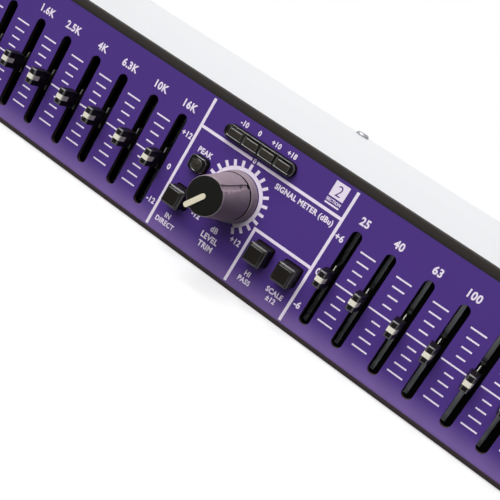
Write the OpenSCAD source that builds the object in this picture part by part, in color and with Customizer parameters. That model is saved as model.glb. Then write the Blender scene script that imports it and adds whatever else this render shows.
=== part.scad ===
// Two-channel graphic equalizer in a rack case one space high.
// X runs along the panel, Y from front to back and Z up.
// The origin is the centre of the rack-screw pattern, on the mounting face behind the panel.

/* [Front panel] */
// Width of the panel over the rack ears
panel_w = 482.6; // [476:0.1:490]
// Height of the panel
panel_h = 43.7; // [43:0.1:50]
// Thickness of the panel's sheet
panel_t = 1.5; // [1.2:0.1:2]
// Outer radius of the rolled top and bottom edges
edge_r = 2.3; // [2.1:0.1:3]
// Reach of the lower lip behind the mounting face
lip_d = 7.5; // [6:0.5:9]
// Reach of the upper lip behind the mounting face
top_lip_d = 3; // [2:0.1:6]
// Spacing of the rack slots across the panel
rack_span = 465.1; // [463:0.1:467]
// Spacing of the rack slots up the panel
rack_rise = 31.75; // [30:0.05:32]
// Length of a rack slot
rack_slot_l = 10.2; // [8:0.1:12]
// Width of a rack slot
rack_slot_w = 7; // [6:0.1:7.5]
// Radius of the ears' outer corners
ear_corner_r = 1.5; // [0.5:0.1:3]

/* [Channel layout] */
// Width of the control section at the left of a channel
control_w = 45.58; // [45:0.01:50]
// From the control section to the first fader
first_fader = 5.44; // [5.2:0.01:8]
// Distance between the faders of a pair
gap_narrow = 10.08; // [9.8:0.01:10.6]
// Distance between one pair of faders and the next
gap_wide = 11.12; // [10.2:0.01:11.8]
// From the last fader to the end of the channel
last_fader = 5.7; // [5.2:0.01:8]

/* [Faders] */
// Travel of a fader
fader_travel = 20; // [15:0.5:21]
// Width of a fader's slot in the panel
slot_w = 3.05; // [2.9:0.05:4]
// Room past the lever's neck at each end of a slot
slot_room = 2.15; // [0.5:0.05:3]
// How far a lever stands to the left of the middle of its slot
lever_shift = 0.9; // [0:0.05:0.9]
// Thickness of a lever's blade
lever_t = 0.6; // [0.5:0.05:0.95]
// Height of the lever's neck, which carries the cap
neck_h = 3.4; // [3:0.1:4.2]
// Gap between the lever's shoulders and the panel
shoulder_gap = 0.5; // [0.3:0.05:0.9]
// Height of the lever's shoulders and of its carriage
carriage_h = 6.6; // [5:0.1:7]
// Width of a carriage
carriage_w = 4.6; // [4:0.1:6]
// Depth of a carriage
carriage_d = 2.6; // [2:0.1:3]
// Height of a fader cap along its travel
cap_h = 4.7; // [4.4:0.1:7]
// Width of a fader cap at its foot
cap_w = 2.9; // [2.6:0.1:4.5]
// Width of a fader cap at its front
cap_front_w = 2.1; // [1.8:0.1:2.9]
// How far a cap's front stands out of the panel
cap_out = 6.8; // [5.5:0.1:9]
// Gap between a cap's foot and the panel
cap_gap = 0.6; // [0.3:0.05:1]
// Thickness of a cap over the end of its lever
cap_end = 1.5; // [1:0.1:2.5]
// Bevel along the front edges of a cap
cap_bevel = 0.25; // [0.2:0.05:0.8]
// Width of a slide potentiometer's case
pot_w = 8.6; // [8:0.1:9.2]
// Depth of a slide potentiometer's case
pot_d = 7.2; // [6.5:0.1:8.5]
// Thickness of the case's front and sides
pot_wall = 0.8; // [0.5:0.1:1]
// Thickness of the case's ends
pot_end = 1.6; // [1:0.1:2.5]
// Room past the carriage at each end of its travel
carriage_room = 0.6; // [0.4:0.1:1]
// Room between the cases and the folded sheet under them
pot_floor_gap = 0.55; // [0.3:0.05:1.5]

/* [Gain knobs] */
// From the start of a channel to the knob's axis
knob_x = 17.97; // [16:0.01:19]
// Height of the knob's axis over the middle of the panel
knob_z = 0.23; // [-1:0.01:1]
// How far a knob's front stands out of the panel
knob_out = 18.3; // [14:0.1:24]
// Diameter of a knob's front
knob_front_d = 10.2; // [9.6:0.1:11]
// Diameter of a knob's body above its skirt
knob_body_d = 12.6; // [12:0.1:13]
// Diameter of a knob's skirt
knob_skirt_d = 14; // [13.4:0.1:16]
// Diameter of the skirt at its top
knob_skirt_top_d = 13.2; // [12.6:0.1:14]
// Height of the skirt
knob_skirt_h = 3.2; // [0.8:0.1:4]
// Width of the groove over the skirt
knob_groove = 0.6; // [0.4:0.1:1]
// Gap between a knob and the panel
knob_gap = 0.6; // [0.4:0.1:1.5]
// Diameter of the recess under a knob's skirt
knob_recess_d = 9.6; // [8:0.1:10.4]
// Radius of the edge round a knob's front
knob_edge_r = 0.7; // [0.3:0.1:1]
// Length of the pointer over a knob's front
pointer_l = 6.3; // [3:0.1:7]
// Width of the pointer
pointer_w = 1.4; // [0.8:0.1:1.8]
// Depth of the pointer's groove
pointer_d = 0.4; // [0.1:0.1:0.6]
// How far the pointer stands out of a knob's front
pointer_rise = 0.2; // [0.1:0.05:0.4]
// How far the pointer reaches past the front's edge
pointer_past = 0.8; // [0.3:0.1:1]
// Length of the pointer's leg down a knob's side
pointer_leg = 5; // [2:0.1:7]
// Width of the line down a knob's side, opposite its pointer
knob_line_w = 1.3; // [0.2:0.05:1.6]
// Depth of that line
knob_line_d = 0.3; // [0.1:0.05:0.4]
// Where the pointer rests, clockwise from the top
pointer_rest = -145; // [-150:1:-120]
// Diameter of the set screw that holds a knob on its shaft
set_screw_d = 1.6; // [1.4:0.1:2]
// Distance of the set screw from the panel
set_screw_out = 7.7; // [6.5:0.1:9]
// Width of the set screw's socket over its flats
set_socket_w = 0.9; // [0.7:0.05:1]
// Diameter of the potentiometer's shaft
shaft_d = 6; // [5:0.1:6.2]
// Depth of the flat on the shaft
shaft_flat = 1.5; // [0.5:0.1:2]
// Length of the shaft inside the knob
shaft_grip = 10; // [6:0.1:11]
// Diameter of the potentiometer's can
gain_can_d = 16; // [14:0.1:16.5]
// Depth of the can
gain_can_d_y = 6.4; // [5:0.1:7]
// Diameter of the potentiometer's bush
gain_bush_d = 8; // [7.6:0.1:9]
// Gap between the bush and the panel
gain_bush_gap = 0.7; // [0.3:0.1:1]

/* [Push buttons] */
// From the start of a channel to the axes of its buttons
button_at = [5.2, 32.45, 41.4];
// Height of the buttons' axes under the middle of the panel
button_drop = 7.95; // [7:0.01:9]
// Width and height of a button
button_w = 5.3; // [4.8:0.1:5.6]
// Width and height of the raised pad on its front
button_pad_w = 4.3; // [3.6:0.1:4.6]
// How far the pad stands out of the panel
button_out = 6.2; // [5:0.1:8]
// Height of the pad over the button's shoulder
button_pad_h = 0.9; // [0.4:0.1:1.5]
// Radius of a button's corners
button_corner_r = 0.5; // [0.2:0.1:1]
// Travel of a button
button_travel = 2.5; // [1.5:0.1:2.8]
// Width of the stem that works the switch
stem_w = 3; // [2.4:0.1:3.4]
// Width and height of a switch's housing
switch_w = 7; // [6.4:0.1:7.4]
// Depth of a switch's housing
switch_d = 6; // [5.6:0.1:6.2]
// Thickness of the housing's walls
switch_wall = 0.8; // [0.6:0.1:1.2]

/* [Lamps] */
// From the start of a channel to the middle of its meter
meter_x = 17.97; // [16:0.01:19]
// Distance of the meter's middle from the panel's top edge
meter_drop = 7.55; // [7.4:0.01:9]
// Length of the meter's window in the panel
meter_l = 22.45; // [22.2:0.01:24]
// Height of the meter's window in the panel
meter_h = 4; // [3.6:0.1:5]
// How far the meter's frame stands out of the panel
meter_out = 2; // [1:0.1:3]
// Distance between the lamps of a meter
lamp_pitch = 5.08; // [4.8:0.01:5.2]
// Width of a meter lamp
lamp_w = 4; // [3:0.1:4.2]
// Height of a meter lamp
lamp_h = 1.9; // [1.4:0.1:2.2]
// How far a lamp stands out of its frame
lamp_out = 0.2; // [0:0.05:0.5]
// From the start of a channel to the overload lamp
clip_x = 5.3; // [5:0.01:6]
// Height of the overload lamp over the middle of the panel
clip_z = 2.2; // [1.5:0.01:3]
// Width of the overload lamp's holder
clip_w = 5.2; // [4.6:0.1:5.6]
// Height of the overload lamp's holder
clip_h = 4.4; // [4:0.1:5]
// How far the holder stands out of the panel
clip_out = 2.4; // [1:0.1:3]
// Radius of the holder's corners
clip_corner_r = 1.4; // [0.5:0.1:1.9]
// Diameter of the overload lamp
clip_lamp_d = 3; // [2.5:0.1:3.2]
// Width of the rim that holds a frame behind the panel
lamp_rim = 1.1; // [0.6:0.1:1.4]
// Thickness of that rim
lamp_rim_t = 1; // [0.6:0.1:1.5]

/* [Case] */
// Width of the case behind the ears
chassis_w = 440; // [436:0.5:448]
// Depth of the case behind the mounting face
chassis_d = 150; // [145:1:220]
// Thickness of the tray's sheet
tray_t = 1.2; // [0.9:0.1:1.5]
// Thickness of the cover's sheet
cover_t = 1.2; // [0.9:0.1:1.5]
// Outer radius of the folds in the tray, rear panel and cover
fold_r = 2; // [1.8:0.1:3]
// Height of the tray's side walls
side_h = 14.5; // [14:0.5:20]
// Thickness of the rear panel's sheet
rear_t = 1.2; // [0.9:0.1:1.5]
// Width of the flange along the top of the rear panel
rear_flange = 12; // [10:0.5:16]
// Distance of the flange's screws from the rear face
rear_screw_in = 6.5; // [6:0.1:7]
// Height of the side screws over the tray's underside
side_screw_h = 11; // [10.5:0.1:12]
// Places of the side screws along the case
side_screw_y = [20, 78, 136];
// Places of the rear flange's screws across the case
rear_screw_x = [-140, 0, 140];
// Height of the lip along the back of the tray
rear_lip_h = 7; // [6.6:0.1:7.2]
// Height of the rear panel's lower screws over the tray's underside
rear_foot_h = 4.5; // [4.2:0.1:4.8]
// Places of the rear panel's lower screws across the case
rear_foot_x = [-132, 0, 132];
// Distance of the end screws of the lower lip from the sides of the case
lip_screw_in = 8; // [7:0.5:10]
// From the start of a channel to the lip screw in its control section
lip_screw_x = 35; // [32:0.5:38]

/* [Screws] */
// Diameter of the screws
screw_d = 3; // [2.5:0.1:3.2]
// Diameter of the screws' heads
screw_head_d = 5.6; // [5:0.1:6]
// Diameter of the flat on a pan head
screw_crown_d = 4.2; // [3:0.1:4.8]
// Height of a pan head
screw_head_h = 1.4; // [1:0.1:1.5]
// Length of a pan-head screw under its head
screw_l = 6; // [5:0.1:7]
// Depth of a countersunk head
sink_h = 1.4; // [1:0.1:1.4]
// Length of a countersunk screw with its head
sink_screw_l = 4.5; // [3.5:0.1:4.8]

/* [Boards] */
// Gap between the mounting face and the fader board
board_y = 10; // [9.8:0.1:12]
// Thickness of the boards
board_t = 1.6; // [1.2:0.1:2]
// Gap between the fader board's top edge and the cover
board_head = 1.5; // [1:0.1:3]
// How far the fader board runs past the two channels
board_past = 6; // [3:0.5:8]
// Gap between the tray and the main board
post_h = 6; // [5:0.1:6.2]
// Diameter of the posts that carry the boards
post_d = 4.6; // [4.2:0.1:5]
// Height of the upper posts' axes under the fader board's top edge
post_drop = 2.4; // [2.3:0.1:2.6]
// Height of the lower posts' axes over the fader board's bottom edge
post_rise = 3.2; // [3:0.1:4]
// Gap between the fader board and the main board
board_gap = 2.4; // [2:0.1:4]
// Gap between the main board and the tray's side walls
main_margin = 6; // [5.5:0.5:10]
// Gap between the main board and the ends of the connectors' screws
main_rear_gap = 1.6; // [0.5:0.1:3]
// Distance of the main board's posts from its edges
main_post_in = 8; // [6:0.5:12]
// Length of the strip that joins the two boards
strip_l = 40; // [20:1:60]
// How far that strip reaches over the main board
strip_reach = 2.5; // [2:0.1:4]
// Height of that strip
strip_h = 2.5; // [2:0.1:4]

/* [Board parts] */
// Length, width and height of an amplifier chip
chip = [9.4, 6.4, 3.4];
// Length, width and height of a filter capacitor
film = [7.2, 3.6, 7.5];
// Distance of the filter capacitors from the main board's front edge
film_y = 14; // [12:0.5:15]
// Distance of the amplifier chips from the main board's front edge
chip_y = 21; // [19:0.5:24]
// Diameter of a smoothing capacitor
can_d = 16; // [12:0.5:18]
// Height of a smoothing capacitor
can_h = 25; // [15:0.5:28]
// Distance of the nearer smoothing capacitor from the transformer
can_x = 60; // [52:1:70]
// Distance between the smoothing capacitors
can_pitch = 20; // [19:0.5:24]
// Place of the smoothing capacitors along the case
can_y = 88; // [60:1:110]
// Distance of the transformer from the side of the case
transformer_x = 70; // [60:1:80]
// Place of the transformer along the case
transformer_y = 76; // [73:1:95]
// Length, width and height of the transformer's core
core = [68, 57, 14];
// Width of the core's legs
core_leg = 17; // [14:0.5:18]
// Thickness of the windings on a leg
winding_t = 6; // [4:0.5:6.5]
// Gap between the windings and the core
winding_gap = 0.3; // [0.2:0.1:0.6]

/* [Rear sockets] */
// Distance of the first round connector from the side of the case
rear_start = 25; // [22:0.5:30]
// Distance between the two channels' connectors
rear_step = 100; // [92:0.5:110]
// Distance between the two round connectors of a channel
xlr_pitch = 30; // [27:0.5:32]
// From a channel's first round connector to its first jack
jack_start = 54; // [52:0.5:58]
// Distance between the two jacks of a channel
jack_pitch = 18; // [17:0.5:20]
// Width of a round connector's flange
xlr_flange_w = 26; // [25.5:0.5:28]
// Height of a round connector's flange
xlr_flange_h = 31; // [30:0.5:33]
// Thickness of a round connector's flange
xlr_flange_t = 3; // [2.8:0.1:4]
// Radius of the flange's corners
xlr_corner_r = 2; // [1:0.1:3]
// Diameter of a round connector's barrel
xlr_barrel_d = 23.6; // [22.5:0.1:24]
// Depth of the barrel behind the rear face
xlr_barrel_l = 20; // [17:0.5:26]
// Diameter of the mouth that a plug enters
xlr_mouth_d = 19; // [18.5:0.1:19.5]
// Depth of the mouth
xlr_mouth_l = 15; // [12:0.5:16]
// Diameter of the core in a socket with holes
xlr_core_d = 15.6; // [15:0.1:16]
// Diameter of a contact pin
xlr_pin_d = 2.4; // [2:0.1:2.6]
// Radius of the circle of contacts
xlr_pin_r = 4.2; // [4:0.1:4.6]
// Width, height and thickness of a release tab
tab = [7.6, 3.2, 2.6];
// Height of a release tab's middle over the connector's axis
tab_rise = 12.4; // [12.2:0.1:12.6]
// Travel of a release tab
tab_travel = 0.9; // [0.5:0.1:1]
// Depth of a release tab's recess
tab_recess = 2.3; // [2:0.1:2.4]
// Distance of the flange's screws from the connector's axis, across and up
xlr_screw = [9.5, 12];
// Diameter of the hole that a jack plug enters
jack_bore_d = 6.5; // [6.4:0.05:6.7]
// Diameter of a jack's threaded bush
jack_bush_d = 9.4; // [9:0.1:10]
// How far the bush stands out of the rear face
jack_bush_out = 5; // [3.5:0.1:7]
// Width, length and height of a jack's body
jack_body = [14, 24, 12];
// Thickness of a jack's end wall
jack_end = 1.5; // [1:0.1:3]
// Width of a jack's nut over its flats
nut_w = 12; // [11.5:0.1:13]
// Thickness of a jack's nut
nut_t = 2.4; // [1.5:0.1:3]
// Width of a solder leg
leg_w = 1; // [0.6:0.1:1.2]
// Distance of the mains inlet from the side of the case
inlet_x = 38; // [34:0.5:45]
// Width and height of the inlet's flange
inlet_flange = [50, 22.4];
// Thickness of the inlet's flange
inlet_flange_t = 2.5; // [2:0.1:4]
// Width and height of the inlet's body
inlet_body = [27.4, 19.6];
// Depth of the inlet's body behind the rear face
inlet_body_l = 18; // [16:0.5:24]
// Width and height of the inlet's mouth
inlet_mouth = [24.4, 16.4];
// Depth of the inlet's mouth
inlet_mouth_l = 17; // [15:0.5:18]
// Bevel across the mouth's upper corners
inlet_bevel = 4; // [2:0.5:5]
// Width and height of an inlet's blade
blade = [2, 4];
// Distance of the outer blades from the middle
blade_x = 7; // [6:0.1:8]
// Height of the blades above and below the middle
blade_z = 2; // [1.5:0.1:2.5]
// Distance of the inlet's screws from its middle
inlet_screw = 20; // [18:0.1:21]

/* [Fits] */
// Gap between sheets that lie on one another
sheet_fit = 0.1; // [0.05:0.01:0.2]
// Gap round a part that slides or is pushed
slide_gap = 0.3; // [0.25:0.01:0.35]
// Gap round a part that is pressed on or set in
press_gap = 0.05; // [0.02:0.01:0.1]
// Radial clearance of a shaft in its bush
run_fit = 0.05; // [0.02:0.01:0.09]
// Radial clearance of a screw in its hole
screw_fit = 0.15; // [0.1:0.01:0.2]

/* [Hidden] */
$fn = 48;
// A cut runs this far past the face that it opens
cut = 1;
CHANNELS = [0, 1];
BANDS = ["25hz", "40hz", "63hz", "100hz", "160hz", "250hz", "400hz", "630hz",
         "1khz", "1k6hz", "2k5hz", "4khz", "6k3hz", "10khz", "16khz"];
BUTTONS = ["bypass", "low_cut", "range"];
n_bands = len(BANDS);
n_buttons = len(BUTTONS);
lamps = 4;
// How deep a set screw lies under the line in its knob
set_screw_sink = 0.3;
// Where a round connector's contacts stand about its axis
XLR_CONTACTS = [25, 155, 270];
// Seams of an input's core, midway between the contacts
XLR_SEAMS = [for (i = [0 : 2]) (XLR_CONTACTS[i] + XLR_CONTACTS[(i + 1) % 3] + (i == 2 ? 360 : 0)) / 2];

// Heights
bottom_z = -panel_h / 2;
top_z = panel_h / 2;
floor_z = bottom_z + tray_t;
tongue_z = bottom_z + panel_t + sheet_fit;
cover_top_z = top_z - panel_t - sheet_fit;
cover_under_z = cover_top_z - cover_t;
rear_top_z = cover_under_z - sheet_fit;
pot_h = fader_travel + carriage_h + 2 * (carriage_room + pot_end);
pot_bottom_z = tongue_z + tray_t + pot_floor_gap;
fader_z = pot_bottom_z + pot_h / 2;
button_z = -button_drop;
meter_z = top_z - meter_drop;
board_top_z = cover_under_z - board_head;
main_z = floor_z + post_h;
main_top_z = main_z + board_t;
socket_z = (floor_z + cover_under_z) / 2;

// Depths
face_y = -panel_t;
tuck_y = edge_r - panel_t + sheet_fit;
joggle_y = lip_d + sheet_fit;
joggle_run = tray_t;
rear_in_y = chassis_d - rear_t;
tray_back_y = rear_in_y - sheet_fit;
pot_front_y = board_y - pot_d;
carriage_y = pot_front_y + pot_wall + slide_gap;
board_back_y = board_y + board_t;
main_y0 = board_back_y + board_gap;
main_y1 = chassis_d + xlr_flange_t - screw_l - main_rear_gap;
gain_can_y = board_y - gain_can_d_y;
switch_y = board_y - switch_d;
button_back_y = switch_y - button_travel - 2 * slide_gap;
stem_y = board_y - switch_wall - button_travel - slide_gap;

// Radius of a knob's tapered body at a distance from the panel
knob_foot = knob_gap + knob_skirt_h + knob_groove;
knob_taper = (knob_body_d - knob_front_d) / 2 / (knob_out - knob_edge_r - knob_foot);
function knob_r(w) = knob_front_d / 2 + knob_taper * (knob_out - knob_edge_r - w);

// Widths
tray_x = chassis_w / 2 - cover_t - sheet_fit;
ear_w = (panel_w - chassis_w) / 2;
slot_l = fader_travel + neck_h + 2 * slot_room;
screw_r = screw_d / 2 + screw_fit;
main_x = tray_x - tray_t - main_margin;
function gap_after(i) = min(i, n_bands - i) % 2 == 1 ? gap_narrow : gap_wide;
function run_to(b) = b == 0 ? 0 : run_to(b - 1) + gap_after(b);
block_w = control_w + first_fader + run_to(n_bands - 1) + last_fader;
board_x = block_w + board_past;

// Places
function channel_x(c) = (c - 1) * block_w;
function fader_x(c, b) = channel_x(c) + control_w + first_fader + run_to(b);
function lamp_x(c, i) = channel_x(c) + meter_x + (i - (lamps - 1) / 2) * lamp_pitch;
function xlr_x(c, k) = rear_start - chassis_w / 2 + c * rear_step + k * xlr_pitch;
function jack_x(c, k) = xlr_x(c, 0) + jack_start + k * jack_pitch;
inlet_mid = chassis_w / 2 - inlet_x;
transformer_mid = chassis_w / 2 - transformer_x;
FADER_PLACES = [for (c = CHANNELS, b = [0 : n_bands - 1]) fader_x(c, b)];
BUTTON_PLACES = [for (c = CHANNELS, x = button_at) channel_x(c) + x];
LAMP_PLACES = [for (c = CHANNELS, i = [0 : lamps - 1]) lamp_x(c, i)];
JACK_PLACES = [for (c = CHANNELS, k = [0, 1]) jack_x(c, k)];
XLR_PLACES = [for (c = CHANNELS, k = [0, 1]) xlr_x(c, k)];
XLR_SCREWS = [for (x = XLR_PLACES, s = [-1, 1]) [x + s * xlr_screw[0], socket_z - s * xlr_screw[1]]];
INLET_SCREWS = [for (s = [-1, 1]) [inlet_mid + s * inlet_screw, socket_z]];
UPPER_POSTS = [for (c = CHANNELS, b = [1, 7, 13]) [fader_x(c, b), board_top_z - post_drop]];
LOWER_POSTS = [for (c = CHANNELS) [channel_x(c) + knob_x, pot_bottom_z + post_rise]];
PANEL_POSTS = concat(UPPER_POSTS, LOWER_POSTS);
MAIN_POSTS = [for (i = [-1, 0, 1], y = [main_y0 + main_post_in, main_y1 - main_post_in])
              [i * (main_x - main_post_in), y]];
LIP_SCREWS = concat([for (s = [-1, 1]) s * (chassis_w / 2 - lip_screw_in)],
                    [for (c = CHANNELS) channel_x(c) + lip_screw_x]);
lip_screw_y = (tuck_y + lip_d) / 2;

function fader_name(c, b) = str("fader_", c + 1, "_", BANDS[b]);
function knob_name(c) = str("gain_knob_", c + 1);
function button_name(c, k) = str(BUTTONS[k], "_button_", c + 1);
function tab_name(c) = str("release_tab_", c + 1);

// Extrudes an outline in X and Z between two depths
module along_y(y0, y1) {
    translate([0, y1, 0]) rotate([90, 0, 0]) linear_extrude(y1 - y0) children();
}

// Extrudes an outline in Y and Z between two places across the case
module along_x(x0, x1) {
    translate([x0, 0, 0]) rotate([90, 0, 90]) linear_extrude(x1 - x0) children();
}

// A rod along Y
module rod_y(x, z, d, y0, y1) {
    translate([x, y1, z]) rotate([90, 0, 0]) cylinder(d = d, h = y1 - y0);
}

// A box between two corners
module block(low, high) {
    translate(low) cube(high - low);
}

// A flat rectangle between two corners
module sheet(low, high) {
    translate(low) square(high - low);
}

// An upright slot outline with round ends
module slot(w, l) {
    square([w, l - w], center = true);
    for (s = [-1, 1]) translate([0, s * (l - w) / 2]) circle(d = w);
}

// A rectangle with round corners
module round_rect(w, h, r) {
    square([w - 2 * r, h], center = true);
    square([w, h - 2 * r], center = true);
    for (i = [-1, 1], j = [-1, 1]) translate([i * (w / 2 - r), j * (h / 2 - r)]) circle(r = r);
}

// A quarter of a ring: the section of a fold whose corner points along i and j
module fold(centre, r, t, i, j) {
    translate(centre) intersection() {
        difference() {
            circle(r = r);
            circle(r = r - t);
        }
        translate([min(0, i * r), min(0, j * r)]) square(r);
    }
}

// Section of the panel: face, rolled edges and upper lip
module panel_section() {
    fold_y = face_y + edge_r;
    sheet([face_y, bottom_z + edge_r], [0, top_z - edge_r]);
    fold([fold_y, top_z - edge_r], edge_r, panel_t, -1, 1);
    fold([fold_y, bottom_z + edge_r], edge_r, panel_t, -1, -1);
    sheet([fold_y, top_z - panel_t], [top_lip_d, top_z]);
}

// Section of the lower lip, whose ends are cut back to clear the cover's sides
module lower_lip_section() {
    sheet([face_y + edge_r, bottom_z], [lip_d, bottom_z + panel_t]);
}

// Outline of one ear, with its outer corners rounded
module ear(s) {
    intersection() {
        round_rect(panel_w, panel_h, ear_corner_r);
        translate([s * (chassis_w + ear_w) / 2, 0]) square([ear_w, panel_h], center = true);
    }
}

module panel_openings() {
    for (x = FADER_PLACES) translate([x, fader_z]) slot(slot_w, slot_l);
    for (x = BUTTON_PLACES) translate([x, button_z])
        round_rect(button_w + 2 * slide_gap, button_w + 2 * slide_gap, button_corner_r + slide_gap);
    for (c = CHANNELS) translate([channel_x(c), 0]) {
        translate([knob_x, knob_z]) circle(d = shaft_d + 2 * slide_gap);
        translate([meter_x, meter_z]) rotate(90) slot(meter_h, meter_l);
        translate([clip_x, clip_z])
            round_rect(clip_w + 2 * press_gap, clip_h + 2 * press_gap, clip_corner_r + press_gap);
    }
    for (i = [-1, 1], j = [-1, 1]) translate([i * rack_span / 2, j * rack_rise / 2])
        rotate(90) slot(rack_slot_w, rack_slot_l);
}

// The space that a countersunk screw takes, grown by a gap
module sink_screw(gap) {
    head_r = screw_head_d / 2;
    shank_r = screw_d / 2 + gap;
    rotate_extrude() polygon([[0, 0], [head_r + gap, 0], [shank_r, sink_h],
                              [shank_r, sink_screw_l], [0, sink_screw_l]]);
}

module at_lip_screws() {
    for (x = LIP_SCREWS) translate([x, lip_screw_y, bottom_z]) children();
}

module front_panel() color([0.27, 0.17, 0.42]) difference() {
    union() {
        along_x(-chassis_w / 2, chassis_w / 2) panel_section();
        along_x(-tray_x, tray_x) lower_lip_section();
        along_y(face_y, 0) for (s = [-1, 1]) ear(s);
    }
    along_y(face_y - cut, cut) panel_openings();
    at_lip_screws() sink_screw(screw_fit);
}

// Section of the tray: tongue over the panel's lip, joggle, floor and the lip at the back
module tray_section() {
    rear_c = tray_back_y - fold_r;
    sheet([tuck_y, tongue_z], [joggle_y, tongue_z + tray_t]);
    polygon([[joggle_y, tongue_z], [joggle_y, tongue_z + tray_t],
             [joggle_y + joggle_run, floor_z], [joggle_y + joggle_run, bottom_z]]);
    sheet([joggle_y + joggle_run, bottom_z], [rear_c, floor_z]);
    fold([rear_c, bottom_z + fold_r], fold_r, tray_t, 1, -1);
    sheet([tray_back_y - tray_t, bottom_z + fold_r], [tray_back_y, bottom_z + rear_lip_h]);
}

// Section of the flange along the top of the rear panel, cut short to clear the cover's folds
module flange_section() {
    rear_c = chassis_d - fold_r;
    fold([rear_c, rear_top_z - fold_r], fold_r, rear_t, 1, 1);
    sheet([chassis_d - rear_flange, rear_top_z - rear_t], [rear_c, rear_top_z]);
}

module rear_openings() {
    for (x = XLR_PLACES) translate([x, socket_z]) circle(d = xlr_barrel_d + 2 * slide_gap);
    for (x = JACK_PLACES) translate([x, socket_z]) circle(d = jack_bush_d + 2 * press_gap);
    translate([inlet_mid, socket_z]) square(inlet_body + [1, 1] * 2 * slide_gap, center = true);
    for (p = concat(XLR_SCREWS, INLET_SCREWS)) translate(p) circle(r = screw_r);
    foot_screw_holes();
}

module foot_screw_holes() {
    for (x = rear_foot_x) translate([x, bottom_z + rear_foot_h]) circle(r = screw_r);
}

module cover_screw_holes() {
    for (x = rear_screw_x) translate([x, chassis_d - rear_screw_in, rear_top_z - screw_l])
        cylinder(r = screw_r, h = 2 * screw_l);
    for (s = [-1, 1], y = side_screw_y) translate([s * chassis_w / 2, y, bottom_z + side_screw_h])
        rotate([0, 90, 0]) cylinder(r = screw_r, h = 2 * screw_l, center = true);
}

module chassis_tray() color([0.74, 0.75, 0.77]) difference() {
    union() {
        along_x(-tray_x, tray_x) tray_section();
        for (s = [-1, 1]) mirror([s < 0 ? 1 : 0, 0, 0])
            block([tray_x - tray_t, joggle_y + joggle_run, bottom_z],
                  [tray_x, tray_back_y - fold_r, bottom_z + side_h]);
    }
    along_y(tray_back_y - tray_t - cut, tray_back_y + cut) foot_screw_holes();
    at_lip_screws() translate([0, 0, -cut]) cylinder(r = screw_r, h = sink_screw_l + 2 * cut);
    cover_screw_holes();
}

// The rear panel, screwed to the tray's lip, with a flange for the cover's screws
module rear_panel() color([0.75, 0.76, 0.78]) difference() {
    union() {
        along_y(rear_in_y, chassis_d) sheet([-tray_x, bottom_z + slide_gap], [tray_x, rear_top_z - fold_r]);
        along_x(fold_r - tray_x, tray_x - fold_r) flange_section();
    }
    along_y(rear_in_y - cut, chassis_d + cut) rear_openings();
    cover_screw_holes();
}

// Outline of the cover's outside or, with a thickness taken off, of its inside
module cover_outline(t) {
    w = chassis_w - 2 * t;
    r = fold_r - t;
    head_z = cover_top_z - t;
    sheet([-w / 2, bottom_z + slide_gap - (t > 0 ? cut : 0)], [w / 2, head_z - r]);
    sheet([-w / 2 + r, head_z - r], [w / 2 - r, head_z]);
    for (s = [-1, 1]) translate([s * (w / 2 - r), head_z - r]) circle(r = r);
}

module top_cover() color([0.76, 0.77, 0.79]) difference() {
    along_y(tuck_y, chassis_d) difference() {
        cover_outline(0);
        cover_outline(cover_t);
    }
    cover_screw_holes();
}

module fader_board() color([0.10, 0.32, 0.18]) along_y(board_y, board_back_y) difference() {
    sheet([-board_x, pot_bottom_z], [board_x, board_top_z]);
    for (p = PANEL_POSTS) translate(p) circle(r = screw_r);
}

module main_board() color([0.10, 0.32, 0.18]) translate([0, 0, main_z]) linear_extrude(board_t) difference() {
    sheet([-main_x, main_y0], [main_x, main_y1]);
    for (p = MAIN_POSTS) translate(p) circle(r = screw_r);
}

// A slide potentiometer's case: a channel for the carriage behind a slot for the lever
module slide_pot() {
    inner_h = pot_h - 2 * pot_end;
    lever_slot = lever_t + 2 * slide_gap;
    difference() {
        along_y(pot_front_y, board_y) square([pot_w, pot_h], center = true);
        along_y(pot_front_y + pot_wall, board_y - pot_wall)
            square([carriage_w + 2 * (lever_shift + slide_gap), inner_h], center = true);
        along_y(pot_front_y - cut, pot_front_y + pot_wall + cut)
            translate([-lever_shift, 0]) square([lever_slot, inner_h], center = true);
    }
}

module slide_pots() color([0.55, 0.56, 0.58]) for (x = FADER_PLACES) translate([x, 0, fader_z]) slide_pot();

// Lever and carriage in one: shoulders behind the panel, a neck through its slot
module fader_lever() {
    along_y(shoulder_gap, carriage_y + carriage_d) square([lever_t, carriage_h], center = true);
    along_y(face_y - cap_out + cap_end, shoulder_gap) square([lever_t, neck_h], center = true);
    along_y(carriage_y, carriage_y + carriage_d) square([carriage_w, carriage_h], center = true);
}

// A cap with sides that draw in towards a bevelled front, and a socket for the neck
module fader_cap() {
    front_y = face_y - cap_out;
    foot_y = face_y - cap_gap;
    difference() {
        intersection() {
            translate([0, 0, -cap_h / 2]) linear_extrude(cap_h)
                polygon([[-cap_w / 2, foot_y], [-cap_front_w / 2, front_y + cap_bevel],
                         [-cap_front_w / 2 + cap_bevel, front_y], [cap_front_w / 2 - cap_bevel, front_y],
                         [cap_front_w / 2, front_y + cap_bevel], [cap_w / 2, foot_y]]);
            along_x(-cap_w, cap_w)
                polygon([[foot_y, -cap_h / 2], [front_y + cap_bevel, -cap_h / 2],
                         [front_y, -cap_h / 2 + cap_bevel], [front_y, cap_h / 2 - cap_bevel],
                         [front_y + cap_bevel, cap_h / 2], [foot_y, cap_h / 2]]);
        }
        along_y(front_y + cap_end - press_gap, foot_y + cut)
            square([lever_t, neck_h] + [1, 1] * 2 * press_gap, center = true);
    }
}

module fader(c, b) translate([fader_x(c, b) - lever_shift, 0, fader_z]) {
    color([0.75, 0.75, 0.76]) fader_lever();
    color([0.10, 0.10, 0.10]) fader_cap();
}

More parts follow.
